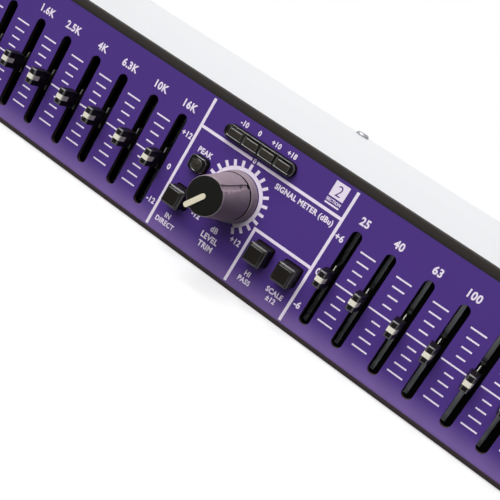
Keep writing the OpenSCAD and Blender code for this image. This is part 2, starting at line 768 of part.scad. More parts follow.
module gain_pots() color([0.60, 0.61, 0.62]) for (c = CHANNELS) translate([channel_x(c), 0, 0]) difference() {
    union() {
        rod_y(knob_x, knob_z, gain_can_d, gain_can_y, board_y);
        rod_y(knob_x, knob_z, gain_bush_d, gain_bush_gap, gain_can_y + cut);
    }
    rod_y(knob_x, knob_z, shaft_d + 2 * run_fit, gain_bush_gap - cut, board_y - pot_wall);
}

// Section of the knob's outside: skirt, groove, tapered body and rounded front edge
module knob_outside() {
    skirt_top = knob_gap + knob_skirt_h;
    edge = [for (a = [0 : 15 : 90]) [knob_front_d / 2 - knob_edge_r * (1 - cos(a)),
                                     knob_out - knob_edge_r * (1 - sin(a))]];
    polygon(concat(
        [[0, knob_gap], [knob_skirt_d / 2, knob_gap], [knob_skirt_top_d / 2, skirt_top],
         [knob_body_d / 2 - knob_groove, skirt_top], [knob_body_d / 2 - knob_groove, knob_foot],
         [knob_body_d / 2, knob_foot]],
        edge, [[0, knob_out]]));
}

// Section of the shaft, which has a flat for the set screw along the length that the knob grips
module shaft_section(gap) {
    intersection() {
        circle(d = shaft_d + 2 * gap);
        translate([0, shaft_flat]) square([shaft_d + 2, shaft_d + 2 * gap], center = true);
    }
}

// Turned about the panel's normal, with the pointer at its rest
module at_knob(c) {
    translate([channel_x(c) + knob_x, face_y, knob_z]) rotate([90, 0, 0]) rotate(-pointer_rest) children();
}

// Extrudes an outline of radius and height to a width, in the plane through the axis and the pointer
module knob_fin(w) {
    rotate([90, 0, 90]) translate([0, 0, -w / 2]) linear_extrude(w) children();
}

// The space of the line down a knob's side, which follows its taper
module knob_line() {
    start = knob_gap + knob_skirt_h;
    rotate(180) knob_fin(knob_line_w)
        polygon([[knob_r(start) - knob_line_d, start], [knob_body_d, start],
                 [knob_body_d, knob_out], [knob_r(knob_out) - knob_line_d, knob_out]]);
}

// The pointer, a bar along the front that bends over its edge, or its space grown by a gap
module knob_pointer(gap) {
    reach = knob_front_d / 2 + pointer_past;
    front = knob_out + pointer_rise;
    leg_end = knob_out - pointer_leg;
    intersection() {
        translate([0, reach - pointer_l / 2]) linear_extrude(front + cut)
            slot(pointer_w + 2 * gap, pointer_l + 2 * gap);
        knob_fin(pointer_w + 2)
            polygon([[-reach, knob_out - pointer_d - gap], [-reach, front + gap],
                     [reach + gap, front + gap], [knob_r(leg_end) + gap, leg_end - gap],
                     [knob_r(leg_end) - pointer_d - gap, leg_end - gap],
                     [knob_r(knob_out) - pointer_d - gap, knob_out - pointer_d - gap]]);
    }
}

// A screw across the knob, sunk under the line, with a socket for its key
module set_screw() {
    flat = shaft_d / 2 - shaft_flat + press_gap;
    head = knob_r(set_screw_out) - knob_line_d - set_screw_sink;
    translate([0, 0, set_screw_out]) rotate([90, 0, 0]) difference() {
        translate([0, 0, flat]) cylinder(d = set_screw_d - 2 * press_gap, h = head - flat);
        translate([0, 0, head - set_socket_w])
            cylinder(d = set_socket_w / cos(30), h = 2 * set_socket_w, $fn = 6);
    }
}

module gain_knob_body() {
    difference() {
        rotate_extrude() knob_outside();
        cylinder(d = knob_recess_d, h = knob_gap + knob_skirt_h);
        knob_line();
        linear_extrude(knob_gap + shaft_grip + press_gap) shaft_section(press_gap);
        knob_pointer(press_gap);
        translate([0, 0, set_screw_out]) rotate([90, 0, 0]) cylinder(d = set_screw_d, h = knob_body_d);
    }
}

module gain_shaft() {
    back = board_y - pot_wall - slide_gap + panel_t;
    linear_extrude(knob_gap + shaft_grip) shaft_section(0);
    translate([0, 0, -back]) cylinder(d = shaft_d, h = back);
}

module gain_knob(c) at_knob(c) {
    color([0.12, 0.12, 0.12]) gain_knob_body();
    color([0.91, 0.88, 0.78]) knob_pointer(0);
    color([0.30, 0.30, 0.31]) set_screw();
    color([0.75, 0.75, 0.76]) gain_shaft();
}

module push_switch() {
    difference() {
        along_y(switch_y, board_y) square(switch_w, center = true);
        along_y(switch_y - cut, board_y - switch_wall) square(stem_w + 2 * slide_gap, center = true);
    }
}

module push_switches() color([0.18, 0.18, 0.19])
    for (x = BUTTON_PLACES) translate([x, 0, button_z]) push_switch();

module push_button(c, k) color([0.12, 0.12, 0.12]) translate([channel_x(c) + button_at[k], 0, button_z]) {
    shoulder = face_y - button_out + button_pad_h;
    along_y(shoulder, button_back_y) round_rect(button_w, button_w, button_corner_r);
    along_y(face_y - button_out, shoulder) round_rect(button_pad_w, button_pad_w, button_corner_r);
    along_y(button_back_y, stem_y) square(stem_w, center = true);
}

module meter_frame(c) translate([channel_x(c) + meter_x, 0, meter_z]) difference() {
    union() {
        along_y(face_y - meter_out, 0) rotate(90) slot(meter_h - 2 * press_gap, meter_l - 2 * press_gap);
        along_y(0, lamp_rim_t) square([meter_l, meter_h] + [1, 1] * 2 * lamp_rim, center = true);
    }
    along_y(face_y - meter_out - cut, lamp_rim_t + cut) for (i = [0 : lamps - 1])
        translate([(i - (lamps - 1) / 2) * lamp_pitch, 0])
            square([lamp_w, lamp_h] + [1, 1] * 2 * press_gap, center = true);
}

module clip_holder(c) translate([channel_x(c) + clip_x, 0, clip_z]) difference() {
    union() {
        along_y(face_y - clip_out, 0) round_rect(clip_w, clip_h, clip_corner_r);
        along_y(0, lamp_rim_t) square([clip_w, clip_h] + [1, 1] * lamp_rim, center = true);
    }
    rod_y(0, 0, clip_lamp_d + 2 * press_gap, face_y - clip_out - cut, lamp_rim_t + cut);
}

module lamp_frames() color([0.10, 0.10, 0.10]) for (c = CHANNELS) {
    meter_frame(c);
    clip_holder(c);
}

// A round lamp with a domed front, seated on the board
module clip_lens(c) translate([channel_x(c) + clip_x, 0, clip_z]) {
    dome_y = face_y - clip_out;
    rod_y(0, 0, clip_lamp_d, dome_y, board_y);
    intersection() {
        translate([0, dome_y + clip_lamp_d / 2 - lamp_out, 0]) sphere(d = clip_lamp_d);
        rod_y(0, 0, clip_lamp_d, dome_y - clip_lamp_d, dome_y);
    }
}

module lamp_lenses() color([0.22, 0.10, 0.10]) {
    for (x = LAMP_PLACES) translate([x, 0, meter_z])
        along_y(face_y - meter_out - lamp_out, board_y) square([lamp_w, lamp_h], center = true);
    for (c = CHANNELS) clip_lens(c);
}

// Main board parts: a joining strip, filter capacitors and chips for each channel, and the power parts
module board_parts() {
    color([0.12, 0.12, 0.13]) for (c = CHANNELS) translate([channel_x(c) + block_w / 2, 0, 0])
        block([-strip_l / 2, board_back_y, main_top_z],
              [strip_l / 2, main_y0 + strip_reach, main_top_z + strip_h]);
    color([0.62, 0.20, 0.12]) for (x = FADER_PLACES)
        translate([x - film[0] / 2, main_y0 + film_y, main_top_z]) cube(film);
    color([0.12, 0.12, 0.13]) for (c = CHANNELS, b = [0 : 2 : n_bands - 1])
        translate([fader_x(c, b) - chip[0] / 2, main_y0 + chip_y, main_top_z]) cube(chip);
    color([0.15, 0.22, 0.45]) for (i = [0, 1])
        translate([transformer_mid - can_x - i * can_pitch, can_y, main_top_z])
            cylinder(d = can_d, h = can_h);
}

// Two windings on the legs of a laminated core, standing on the main board
module transformer() translate([transformer_mid, transformer_y, main_top_z]) {
    winding = [core_leg, core[2]] + [1, 1] * 2 * (winding_t + winding_gap);
    leg_x = (core[0] - core_leg) / 2;
    window = core[1] - 2 * core_leg;
    axis_z = winding[1] / 2;
    color([0.45, 0.45, 0.47]) translate([0, 0, axis_z - core[2] / 2]) linear_extrude(core[2]) difference() {
        square([core[0], core[1]], center = true);
        square([core[0] - 2 * core_leg, window], center = true);
    }
    color([0.55, 0.30, 0.12]) for (s = [-1, 1]) translate([s * leg_x, 0, axis_z])
        along_y(-window / 2 + winding_gap, window / 2 - winding_gap) difference() {
            round_rect(winding[0], winding[1], winding_t / 2);
            square([core_leg, core[2]] + [1, 1] * 2 * winding_gap, center = true);
        }
}

// A round connector's flange and barrel, with the mouth for the plug
module xlr_shell() {
    face = chassis_d + xlr_flange_t;
    difference() {
        union() {
            along_y(chassis_d, face) round_rect(xlr_flange_w, xlr_flange_h, xlr_corner_r);
            rod_y(0, 0, xlr_barrel_d, chassis_d - xlr_barrel_l, chassis_d + cut);
        }
        rod_y(0, 0, xlr_mouth_d, face - xlr_mouth_l, face + cut);
        xlr_screw_holes();
    }
}

module xlr_screw_holes() {
    for (s = [-1, 1]) rod_y(s * xlr_screw[0], -s * xlr_screw[1], 2 * screw_r, chassis_d - cut,
                            chassis_d + xlr_flange_t + cut);
}

// The three contacts of a round connector
module at_contacts() {
    for (a = XLR_CONTACTS) translate([xlr_pin_r * cos(a), 0, xlr_pin_r * sin(a)]) children();
}

// The core of an input, moulded in three with a hole in each, standing on the end of the mouth
module xlr_core() {
    face = chassis_d + xlr_flange_t;
    foot = face - xlr_mouth_l + press_gap;
    difference() {
        rod_y(0, 0, xlr_core_d, foot, face);
        at_contacts() rod_y(0, 0, xlr_pin_d + 2 * press_gap, foot - cut, face + cut);
        for (a = XLR_SEAMS) rotate([0, -a, 0])
            block([-press_gap, foot - cut, -press_gap / 2], [xlr_core_d, face + cut, press_gap / 2]);
    }
}

module xlr_input() {
    face = chassis_d + xlr_flange_t;
    difference() {
        xlr_shell();
        along_y(face - tab_recess, face + cut) translate([0, tab_rise])
            square([tab[0], tab[1]] + [1, 1] * 2 * slide_gap, center = true);
    }
    xlr_core();
}

module xlr_output() {
    face = chassis_d + xlr_flange_t;
    xlr_shell();
    at_contacts() rod_y(0, 0, xlr_pin_d, face - xlr_mouth_l - cut, face - xlr_flange_t);
}

module xlr_inputs() color([0.12, 0.12, 0.13])
    for (c = CHANNELS) translate([xlr_x(c, 0), 0, socket_z]) xlr_input();

module xlr_outputs() color([0.12, 0.12, 0.13])
    for (c = CHANNELS) translate([xlr_x(c, 1), 0, socket_z]) xlr_output();

module release_tab(c) color([0.70, 0.70, 0.72]) {
    back = chassis_d + xlr_flange_t - tab_recess + tab_travel + slide_gap;
    along_y(back, back + tab[2])
        translate([xlr_x(c, 0), socket_z + tab_rise]) square([tab[0], tab[1]], center = true);
}

// A jack: body on solder legs, and a bush through the rear wall
module jack_socket() {
    front = rear_in_y - jack_body[1];
    difference() {
        union() {
            along_y(front, rear_in_y) square([jack_body[0], jack_body[2]], center = true);
            rod_y(0, 0, jack_bush_d, rear_in_y - cut, chassis_d + jack_bush_out);
        }
        rod_y(0, 0, jack_bore_d, front + jack_end, chassis_d + jack_bush_out + cut);
    }
    for (i = [-1, 1], j = [1, 2]) translate([i * jack_body[0] / 3, front + j * jack_body[1] / 3, 0])
        block([-leg_w / 2, -leg_w / 2, main_top_z - socket_z], [leg_w / 2, leg_w / 2, -jack_body[2] / 2]);
}

module jack_sockets() color([0.14, 0.14, 0.15])
    for (x = JACK_PLACES) translate([x, 0, socket_z]) jack_socket();

module jack_nuts() color([0.70, 0.70, 0.72]) for (x = JACK_PLACES) translate([x, 0, socket_z]) difference() {
    along_y(chassis_d, chassis_d + nut_t) circle(d = nut_w / cos(30), $fn = 6);
    rod_y(0, 0, jack_bush_d + 2 * press_gap, chassis_d - cut, chassis_d + nut_t + cut);
}

module inlet_mouth_outline() {
    w = inlet_mouth[0] / 2;
    h = inlet_mouth[1] / 2;
    polygon([[-w, -h], [w, -h], [w, h - inlet_bevel], [w - inlet_bevel, h],
             [inlet_bevel - w, h], [-w, h - inlet_bevel]]);
}

// The mains inlet: a flange on the rear face, a deep mouth and three blades
module mains_inlet() color([0.12, 0.12, 0.13]) translate([inlet_mid, 0, socket_z]) {
    face = chassis_d + inlet_flange_t;
    difference() {
        union() {
            along_y(chassis_d, face) round_rect(inlet_flange[0], inlet_flange[1], xlr_corner_r);
            along_y(chassis_d - inlet_body_l, chassis_d + cut) square(inlet_body, center = true);
        }
        along_y(face - inlet_mouth_l, face + cut) inlet_mouth_outline();
        for (s = [-1, 1]) rod_y(s * inlet_screw, 0, 2 * screw_r, chassis_d - cut, face + cut);
    }
    for (p = [[-blade_x, -blade_z], [0, blade_z], [blade_x, -blade_z]]) translate([p[0], 0, p[1]])
        along_y(face - inlet_mouth_l - cut, face - inlet_flange_t) square(blade, center = true);
}

// A post drilled for a screw, standing on its foot
module post(h) {
    difference() {
        cylinder(d = post_d, h = h);
        translate([0, 0, h - screw_l]) cylinder(r = screw_r, h = screw_l + cut);
    }
}

module board_posts() color([0.72, 0.70, 0.62]) {
    for (p = PANEL_POSTS) translate([p[0], 0, p[1]]) rotate([-90, 0, 0]) post(board_y);
    for (p = MAIN_POSTS) translate([p[0], p[1], floor_z]) post(post_h);
}

// A pan-head screw along Z, with its head's seat at the origin
module pan_screw() {
    head_r = screw_head_d / 2;
    rotate_extrude() polygon([[0, -screw_l], [screw_d / 2, -screw_l], [screw_d / 2, 0],
                              [head_r, 0], [head_r, screw_head_h / 2],
                              [screw_crown_d / 2, screw_head_h], [0, screw_head_h]]);
}

// A pan-head screw whose head faces the back
module pan_screw_back(p, y) {
    translate([p[0], y, p[1]]) rotate([-90, 0, 0]) pan_screw();
}

module pan_screws() color([0.45, 0.45, 0.46]) {
    for (x = rear_screw_x) translate([x, chassis_d - rear_screw_in, cover_top_z]) pan_screw();
    for (s = [-1, 1], y = side_screw_y) translate([s * chassis_w / 2, y, bottom_z + side_screw_h])
        rotate([0, s * 90, 0]) pan_screw();
    for (p = XLR_SCREWS) pan_screw_back(p, chassis_d + xlr_flange_t);
    for (p = INLET_SCREWS) pan_screw_back(p, chassis_d + inlet_flange_t);
    for (x = rear_foot_x) pan_screw_back([x, bottom_z + rear_foot_h], chassis_d);
    for (p = PANEL_POSTS) pan_screw_back(p, board_back_y);
    for (p = MAIN_POSTS) translate([p[0], p[1], main_top_z]) pan_screw();
}

module lip_screws() color([0.20, 0.20, 0.21]) at_lip_screws() sink_screw(0);

front_panel();
chassis_tray();
rear_panel();
top_cover();
fader_board();
main_board();
slide_pots();
gain_pots();
push_switches();
lamp_frames();
lamp_lenses();
board_parts();
transformer();
mains_inlet();
xlr_inputs();
xlr_outputs();
jack_sockets();
jack_nuts();
board_posts();
pan_screws();
lip_screws();
for (c = CHANNELS, b = [0 : n_bands - 1]) fader(c, b);
for (c = CHANNELS) gain_knob(c);
for (c = CHANNELS, k = [0 : n_buttons - 1]) push_button(c, k);
for (c = CHANNELS) release_tab(c);
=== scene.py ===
import math

import bmesh
import bpy
from mathutils import Euler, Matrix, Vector


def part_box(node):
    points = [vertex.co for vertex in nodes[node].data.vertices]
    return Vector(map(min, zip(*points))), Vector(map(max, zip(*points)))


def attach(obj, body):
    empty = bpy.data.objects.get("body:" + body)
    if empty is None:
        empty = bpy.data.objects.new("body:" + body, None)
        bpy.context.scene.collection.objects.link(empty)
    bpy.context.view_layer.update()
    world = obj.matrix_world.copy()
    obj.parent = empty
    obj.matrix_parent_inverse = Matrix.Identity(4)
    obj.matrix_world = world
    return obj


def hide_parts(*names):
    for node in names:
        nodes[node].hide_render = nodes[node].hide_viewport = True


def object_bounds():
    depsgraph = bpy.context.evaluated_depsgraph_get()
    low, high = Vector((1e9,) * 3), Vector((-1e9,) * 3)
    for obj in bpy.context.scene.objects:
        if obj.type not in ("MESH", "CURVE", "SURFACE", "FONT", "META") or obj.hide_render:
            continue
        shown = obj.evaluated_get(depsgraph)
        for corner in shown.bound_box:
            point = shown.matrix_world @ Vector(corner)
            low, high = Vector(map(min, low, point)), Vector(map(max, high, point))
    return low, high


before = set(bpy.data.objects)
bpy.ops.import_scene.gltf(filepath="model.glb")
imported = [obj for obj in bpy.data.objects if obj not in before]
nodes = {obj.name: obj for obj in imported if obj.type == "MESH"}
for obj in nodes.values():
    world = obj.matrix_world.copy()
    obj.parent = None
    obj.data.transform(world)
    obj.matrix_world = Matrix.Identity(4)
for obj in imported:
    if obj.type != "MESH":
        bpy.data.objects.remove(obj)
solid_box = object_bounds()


# Chassis tray
# The floor of the case: one sheet of dull zinc-plated steel, folded up low at the sides and the back.
# A joggled tongue along its front lies on the panel's lower lip, and most of what is inside stands on it.
MM = 0.001


class Wire:
    """A value on its way through a material's nodes, which takes part in sums as a number does."""

    def __init__(self, tree, socket=None):
        self.tree = tree
        self.socket = socket

    def node(self, kind, settings=None, sockets=None, output=0):
        """Adds a node with these settings and these socket values or links, and gives one of its outputs."""
        made = self.tree.nodes.new("ShaderNode" + kind)
        for name, value in (settings or {}).items():
            setattr(made, name, value)
        for key, value in (sockets or {}).items():
            if isinstance(value, Wire):
                self.tree.links.new(value.socket, made.inputs[key])
            else:
                made.inputs[key].default_value = value
        return Wire(self.tree, made.outputs[output] if made.outputs else None)

    def math(self, operation, *terms):
        return self.node("Math", {"operation": operation}, dict(enumerate(terms)))

    def __add__(self, other):
        return self.math("ADD", self, other)

    __radd__ = __add__

    def __sub__(self, other):
        return self.math("SUBTRACT", self, other)

    def __rsub__(self, other):
        return self.math("SUBTRACT", other, self)

    def __mul__(self, other):
        return self.math("MULTIPLY", self, other)

    __rmul__ = __mul__

    def __lt__(self, other):
        return self.math("LESS_THAN", self, other)

    def __gt__(self, other):
        return self.math("GREATER_THAN", self, other)

    def along(self, axis):
        """One of the three parts of a place: X, Y or Z."""
        return self.node("SeparateXYZ", None, {0: self}, axis)

    def ramp(self, start, end):
        """Rises smoothly from 0 where this value is start to 1 where it is end."""
        return self.node("MapRange", {"interpolation_type": "SMOOTHSTEP"},
                         {"Value": self, "From Min": start, "From Max": end})

    def blend(self, low, high):
        """The colour that lies this far from low to high."""
        return self.node("Mix", {"data_type": "RGBA"}, {0: self, 6: low, 7: high}, 2)

    def grain(self, size, detail=2.0):
        """Cloudy noise between 0 and 1 at these places, with spots of about this size."""
        return self.node("TexNoise", None, {"Vector": self, "Scale": 1 / size, "Detail": detail})

    def relief(self, depth, normal=None):
        """A normal that follows this height, where 1 stands this deep over 0."""
        sockets = {"Height": self, "Distance": depth, "Strength": 1.0}
        if normal:
            sockets["Normal"] = normal
        return self.node("Bump", None, sockets)


def ink_of(red, green, blue):
    """A colour written as it looks on a screen, from 0 to 255, as the shader takes it."""
    parts = [c / 255 for c in (red, green, blue)]
    return (*[c / 12.92 if c <= 0.04045 else ((c + 0.055) / 1.055) ** 2.4 for c in parts], 1.0)


def start_finish(name, **plain):
    """A new material with these plain values on its shader, and the wire of a point's place on the part."""
    material = bpy.data.materials.new(name)
    material.use_nodes = True
    shader = material.node_tree.nodes["Principled BSDF"]
    for socket, value in plain.items():
        shader.inputs[socket.replace("_", " ")].default_value = value
    return material, shader, Wire(material.node_tree).node("TexCoord", output="Object")


def feed(shader, **wires):
    for socket, wire in wires.items():
        wire.tree.links.new(wire.socket, shader.inputs[socket.replace("_", " ")])


def eased_edges(place, radius):
    """A normal that turns over sharp edges as a plated or painted edge of this radius does."""
    return place.node("Bevel", {"samples": 4}, {"Radius": radius})


def plated_sheet(name, dark, pale, gloss):
    """Dull zinc-plated sheet: faintly streaked along the rolling, a little cloudy from the bath."""
    material, shader, place = start_finish(name, Metallic=0.2)
    rolled = place.node("Mapping", None, {"Vector": place, "Scale": (0.03, 1.0, 1.0)})
    streak = rolled.grain(0.6 * MM)
    cloud = place.grain(32 * MM)
    feed(shader, Base_Color=(cloud * 0.6 + streak * 0.4).blend(dark, pale),
         Roughness=gloss + cloud * 0.1 + streak * 0.06,
         Normal=streak.relief(0.002 * MM, eased_edges(place, 0.3 * MM)))
    return material


def dress(name, material):
    """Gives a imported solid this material."""
    slots = nodes[name].data.materials
    slots.clear()
    slots.append(material)


case_zinc = plated_sheet("case_zinc", ink_of(184, 186, 189), ink_of(202, 203, 206), 0.45)
dress("chassis_tray", case_zinc)


# Boards and posts
# Two boards of glass laminate under green solder mask, the upright one for the faders and the flat one for
# the rest. They are screwed to nickel-plated brass posts, clinched into the panel and the tray.
def solder_mask():
    material, shader, place = start_finish("solder_mask", Specular_IOR_Level=0.5, Coat_Weight=0.4)
    weave = place.grain(0.6 * MM, 1.0)
    copper = place.node("TexBrick", {"offset": 0.5},
                        {"Vector": place, "Scale": 1.0, "Brick Width": 9 * MM, "Row Height": 2.5 * MM,
                         "Mortar Size": 0.35 * MM, "Mortar Smooth": 0.2}, "Fac")
    tint = copper.blend(ink_of(18, 72, 42), ink_of(40, 104, 62))
    feed(shader, Base_Color=tint, Roughness=0.35 + weave * 0.15,
         Normal=(copper * 0.6 + weave * 0.4).relief(0.03 * MM))
    return material


def turned_metal(name, dark, pale, gloss):
    """Bright metal with the fine marks of turning or rolling."""
    material, shader, place = start_finish(name, Metallic=1.0)
    marks = place.grain(0.12 * MM, 3.0)
    smear = place.grain(6 * MM)
    feed(shader, Base_Color=smear.blend(dark, pale), Roughness=gloss + marks * 0.12 + smear * 0.08,
         Normal=marks.relief(0.004 * MM, eased_edges(place, 0.1 * MM)))
    return material


mask_green = solder_mask()
dress("fader_board", mask_green)
dress("main_board", mask_green)
dress("board_posts", turned_metal("post_nickel", ink_of(176, 168, 140), ink_of(206, 198, 172), 0.22))


# Board parts and transformer
# Moulded chips and joining strips, red-brown film capacitors and sleeved smoothing cans stand on the main
# board. The transformer has a core of stacked steel laminations and two windings under brown tape.
FILM_FRONT, FILM_BACK, CAN_FRONT, CAN_TOP = 27 * MM, 32.5 * MM, 75 * MM, 10.5 * MM


def board_moulding():
    material, shader, place = start_finish("board_moulding", Specular_IOR_Level=0.4)
    depth = place.along("Y")
    grit = place.grain(0.2 * MM, 3.0)
    film = (depth > FILM_FRONT) * (depth < FILM_BACK)
    can = depth > CAN_FRONT
    crimp = can * (place.along("Z") > CAN_TOP)
    body = film.blend(grit.blend(ink_of(22, 22, 24), ink_of(34, 34, 36)), ink_of(142, 52, 34))
    sleeve = crimp.blend(ink_of(34, 46, 92), ink_of(170, 172, 176))
    feed(shader, Base_Color=can.blend(body, sleeve), Roughness=0.3 + grit * 0.25,
         Metallic=crimp, Normal=grit.relief(0.01 * MM, eased_edges(place, 0.2 * MM)))
    return material


SHEET_T, TAPE_TURN, HALF_WINDOW = 0.25 * MM, 0.4 * MM, 11.3 * MM


def laminated_core():
    material, shader, place = start_finish("laminated_core", Specular_IOR_Level=0.5)
    across, rise = place.along("Y"), place.along("Z")
    low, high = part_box("transformer")
    middle = (low.y + high.y) / 2
    taped = (across > middle - HALF_WINDOW) * (across < middle + HALF_WINDOW)
    sheets = rise.math("PINGPONG", rise, SHEET_T) * (1 / SHEET_T)
    turns = across.math("PINGPONG", across, TAPE_TURN) * (1 / TAPE_TURN)
    steel = sheets.blend(ink_of(62, 62, 66), ink_of(112, 112, 116))
    tape = turns.blend(ink_of(128, 76, 30), ink_of(164, 104, 48))
    feed(shader, Base_Color=taped.blend(steel, tape), Metallic=(1 - taped) * 0.7,
         Roughness=0.4 + sheets * 0.15, Normal=(taped * turns + (1 - taped) * sheets).relief(0.05 * MM))
    return material


dress("board_parts", board_moulding())
dress("transformer", laminated_core())


# Potentiometers and switches
# Tinned steel cases of the slide and rotary potentiometers, and black moulded housings of the push switches,
# all soldered to the upright board. A near-black dust strip on the slide cases is also painted shade for the
# slots.
DUST_AND_SHADE_STRIP_T = 0.3 * MM


def pot_case():
    material, shader, place = start_finish("pot_case", Specular_IOR_Level=0.02)
    # Painted shade: the near-black front of the slide cases stands for the shade inside the panel's slots.
    strip = place.along("Y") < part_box("slide_pots")[0].y + DUST_AND_SHADE_STRIP_T
    fluff = place.grain(0.15 * MM, 3.0)
    smear = place.grain(6 * MM)
    tin = smear.blend(ink_of(134, 136, 140), ink_of(168, 170, 172))
    felt_and_shade = fluff.blend(ink_of(5, 5, 4), ink_of(11, 10, 8))
    feed(shader, Base_Color=strip.blend(tin, felt_and_shade), Metallic=1 - strip,
         Roughness=0.32 + smear * 0.1 + strip * 0.5, Normal=fluff.relief(0.01 * MM))
    return material


def moulded(name, dark, pale, gloss, grit_size, specular):
    """Moulded plastic with a fine grained surface."""
    material, shader, place = start_finish(name, Specular_IOR_Level=specular)
    grit = place.grain(grit_size, 3.0)
    cloud = place.grain(5 * MM)
    feed(shader, Base_Color=(grit * 0.5 + cloud * 0.5).blend(dark, pale),
         Roughness=gloss + cloud * 0.08 + grit * 0.1, Normal=grit.relief(0.006 * MM))
    return material


dress("slide_pots", pot_case())
dress("gain_pots", turned_metal("case_tin", ink_of(134, 136, 140), ink_of(168, 170, 172), 0.3))
dress("push_switches",
      moulded("housing_black", ink_of(24, 24, 25), ink_of(36, 36, 37), 0.45, 0.25 * MM, 0.4))


# Rear panel
# A flat sheet of the same plated steel with a flange folded along its top, punched for the sockets.
# Three pan-head screws hold it to the lip at the back of the tray.
dress("rear_panel", case_zinc)


# Rear sockets
# Black glass-filled connectors on the rear panel: the three-hole inputs with their sprung release tabs, the
# three-pin outputs, the threaded jacks under their nuts, and the mains inlet with its three blades.
CONTACT_R, CONTACT_REACH = 4.2 * MM, 1.4 * MM
CONTACT_TURNS = (25, 155, 270)
CONTACTS = [Vector((math.cos(math.radians(a)), math.sin(math.radians(a)))) * CONTACT_R
            for a in CONTACT_TURNS]
# Places of the blades from the middle of the inlet, across and up, in millimetres
BLADE_SPOTS = ((-7, -2), (0, 2), (7, -2))
BLADES = [Vector((x * MM, z * MM)) for x, z in BLADE_SPOTS]
BLADE_REACH = 2.35 * MM
SOCKET_EASE, FLANGE_W, CONTACT_SLOT = 0.25 * MM, 20 * MM, 1
THREAD_PITCH = 0.75 * MM
WELD = 0.001 * MM
# Turns between two faces, in degrees: taken as flat, eased as sharp, and shaded as sharp
FLAT_TURN, SHARP_TURN, SHADE_TURN = 0.5, 35, 30


def eased_shape(name, ease, edge_slot=-1, outer=None):
    """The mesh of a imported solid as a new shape, with its sharp edges eased by this much.

    The eased faces take the material in edge_slot, if given. With outer, only the edges are eased whose two
    ends it picks.
    """
    shape = bmesh.new()
    shape.from_mesh(nodes[name].data)
    bmesh.ops.remove_doubles(shape, verts=shape.verts, dist=WELD)
    bmesh.ops.dissolve_limit(shape, angle_limit=math.radians(FLAT_TURN), verts=shape.verts,
                             edges=shape.edges)
    sharp = [e for e in shape.edges if e.is_manifold and e.calc_face_angle() > math.radians(SHARP_TURN)]
    if outer:
        sharp = [e for e in sharp if all(outer(v.co) for v in e.verts)]
    for face in shape.faces:
        face.smooth = True
    eased = bmesh.ops.bevel(shape, geom=sharp, offset=ease, segments=1, affect="EDGES",
                            clamp_overlap=outer is None, material=edge_slot)
    for face in eased["faces"]:
        face.smooth = False
    return shape


def bodies_in(shape):
    """The separate bodies of a shape, each as a list of its faces."""
    seen, bodies = set(), []
    for start in shape.faces:
        if start in seen:
            continue
        seen.add(start)
        body = [start]
        for face in body:
            for other in (f for e in face.edges for f in e.link_faces if f not in seen):
                seen.add(other)
                body.append(other)
        bodies.append(body)
    return bodies


def mark_near(shape, offsets, reach, slot):
    """Gives the faces close round these offsets from the middle of each flange another material slot."""
    spots = []
    for body in bodies_in(shape):
        across = [v.co.x for f in body for v in f.verts]
        rise = [v.co.z for f in body for v in f.verts]
        if max(across) - min(across) > FLANGE_W:
            middle = Vector((max(across) + min(across), max(rise) + min(rise))) / 2
            spots += [middle + o for o in offsets]
    for face in shape.faces:
        if any(all((Vector((v.co.x, v.co.z)) - s).length < reach for v in face.verts) for s in spots):
            face.material_index = slot


def hand_over(shape, name, materials, body, slot, *stands_for):
    """Turns a finished shape into a piece on the body that carries it."""
    mesh = bpy.data.meshes.new(name)
    shape.to_mesh(mesh)
    shape.free()
    for material in materials:
        mesh.materials.append(material)
    mesh.set_sharp_from_angle(angle=math.radians(SHADE_TURN))
    piece = bpy.data.objects.new(name, mesh)
    bpy.context.scene.collection.objects.link(piece)
    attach(piece, body)
    if stands_for:
        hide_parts(*stands_for)


def threaded_black():
    """Black plastic with the rings of a fine thread where the bush stands out of the rear panel."""
    material, shader, place = start_finish("jack_black", Specular_IOR_Level=0.45)
    depth = place.along("Y")
    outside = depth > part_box("rear_panel")[1].y
    ring = depth.math("PINGPONG", depth, THREAD_PITCH / 2) * (2 / THREAD_PITCH)
    grit = place.grain(0.3 * MM)
    feed(shader, Base_Color=(ring * outside).blend(ink_of(34, 34, 35), ink_of(22, 22, 23)),
         Roughness=0.38 + grit * 0.12, Normal=(ring * outside).relief(0.12 * MM))
    return material


socket_black = moulded("socket_black", ink_of(22, 22, 23), ink_of(33, 33, 34), 0.4, 0.3 * MM, 0.45)
contact_silver = turned_metal("contact_silver", ink_of(178, 176, 170), ink_of(208, 206, 200), 0.18)
nut_nickel = turned_metal("nut_nickel", ink_of(168, 168, 166), ink_of(198, 198, 194), 0.2)
for socket_node, offsets, reach in (("xlr_inputs", CONTACTS, CONTACT_REACH),
                                    ("xlr_outputs", CONTACTS, CONTACT_REACH),
                                    ("mains_inlet", BLADES, BLADE_REACH)):
    shape = eased_shape(socket_node, SOCKET_EASE)
    mark_near(shape, offsets, reach, CONTACT_SLOT)
    hand_over(shape, socket_node + "_eased", (socket_black, contact_silver), "case",
              "socket_plastic", socket_node)
dress("jack_sockets", threaded_black())
hand_over(eased_shape("jack_nuts", SOCKET_EASE), "jack_nuts_eased", (nut_nickel,), "case",
          "plated_nut", "jack_nuts")
for channel in (1, 2):
    tab = f"release_tab_{channel}"
    hand_over(eased_shape(tab, SOCKET_EASE), tab + "_eased", (contact_silver,), tab, "plated_nut", tab)


# Front panel
# A formed steel panel with rolled top and bottom edges, slotted for the faders and for the rack screws.
# The flat of its face is sprayed purple, and the rolled edges, the back and the slots' walls are left black.
# Towards the lower edge both colours are painted lighter, as painted sheen and painted light.
face_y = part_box("front_panel")[0].y
PURPLE_LOW, PURPLE_HIGH, SPRAY_EDGE = -19.85 * MM, 19.45 * MM, 0.25 * MM
# The purple is painted lighter from this height down to the lower edge, as a painted sheen.
PAINTED_SHEEN_FROM, FACE_DEPTH = -13 * MM, 0.12 * MM


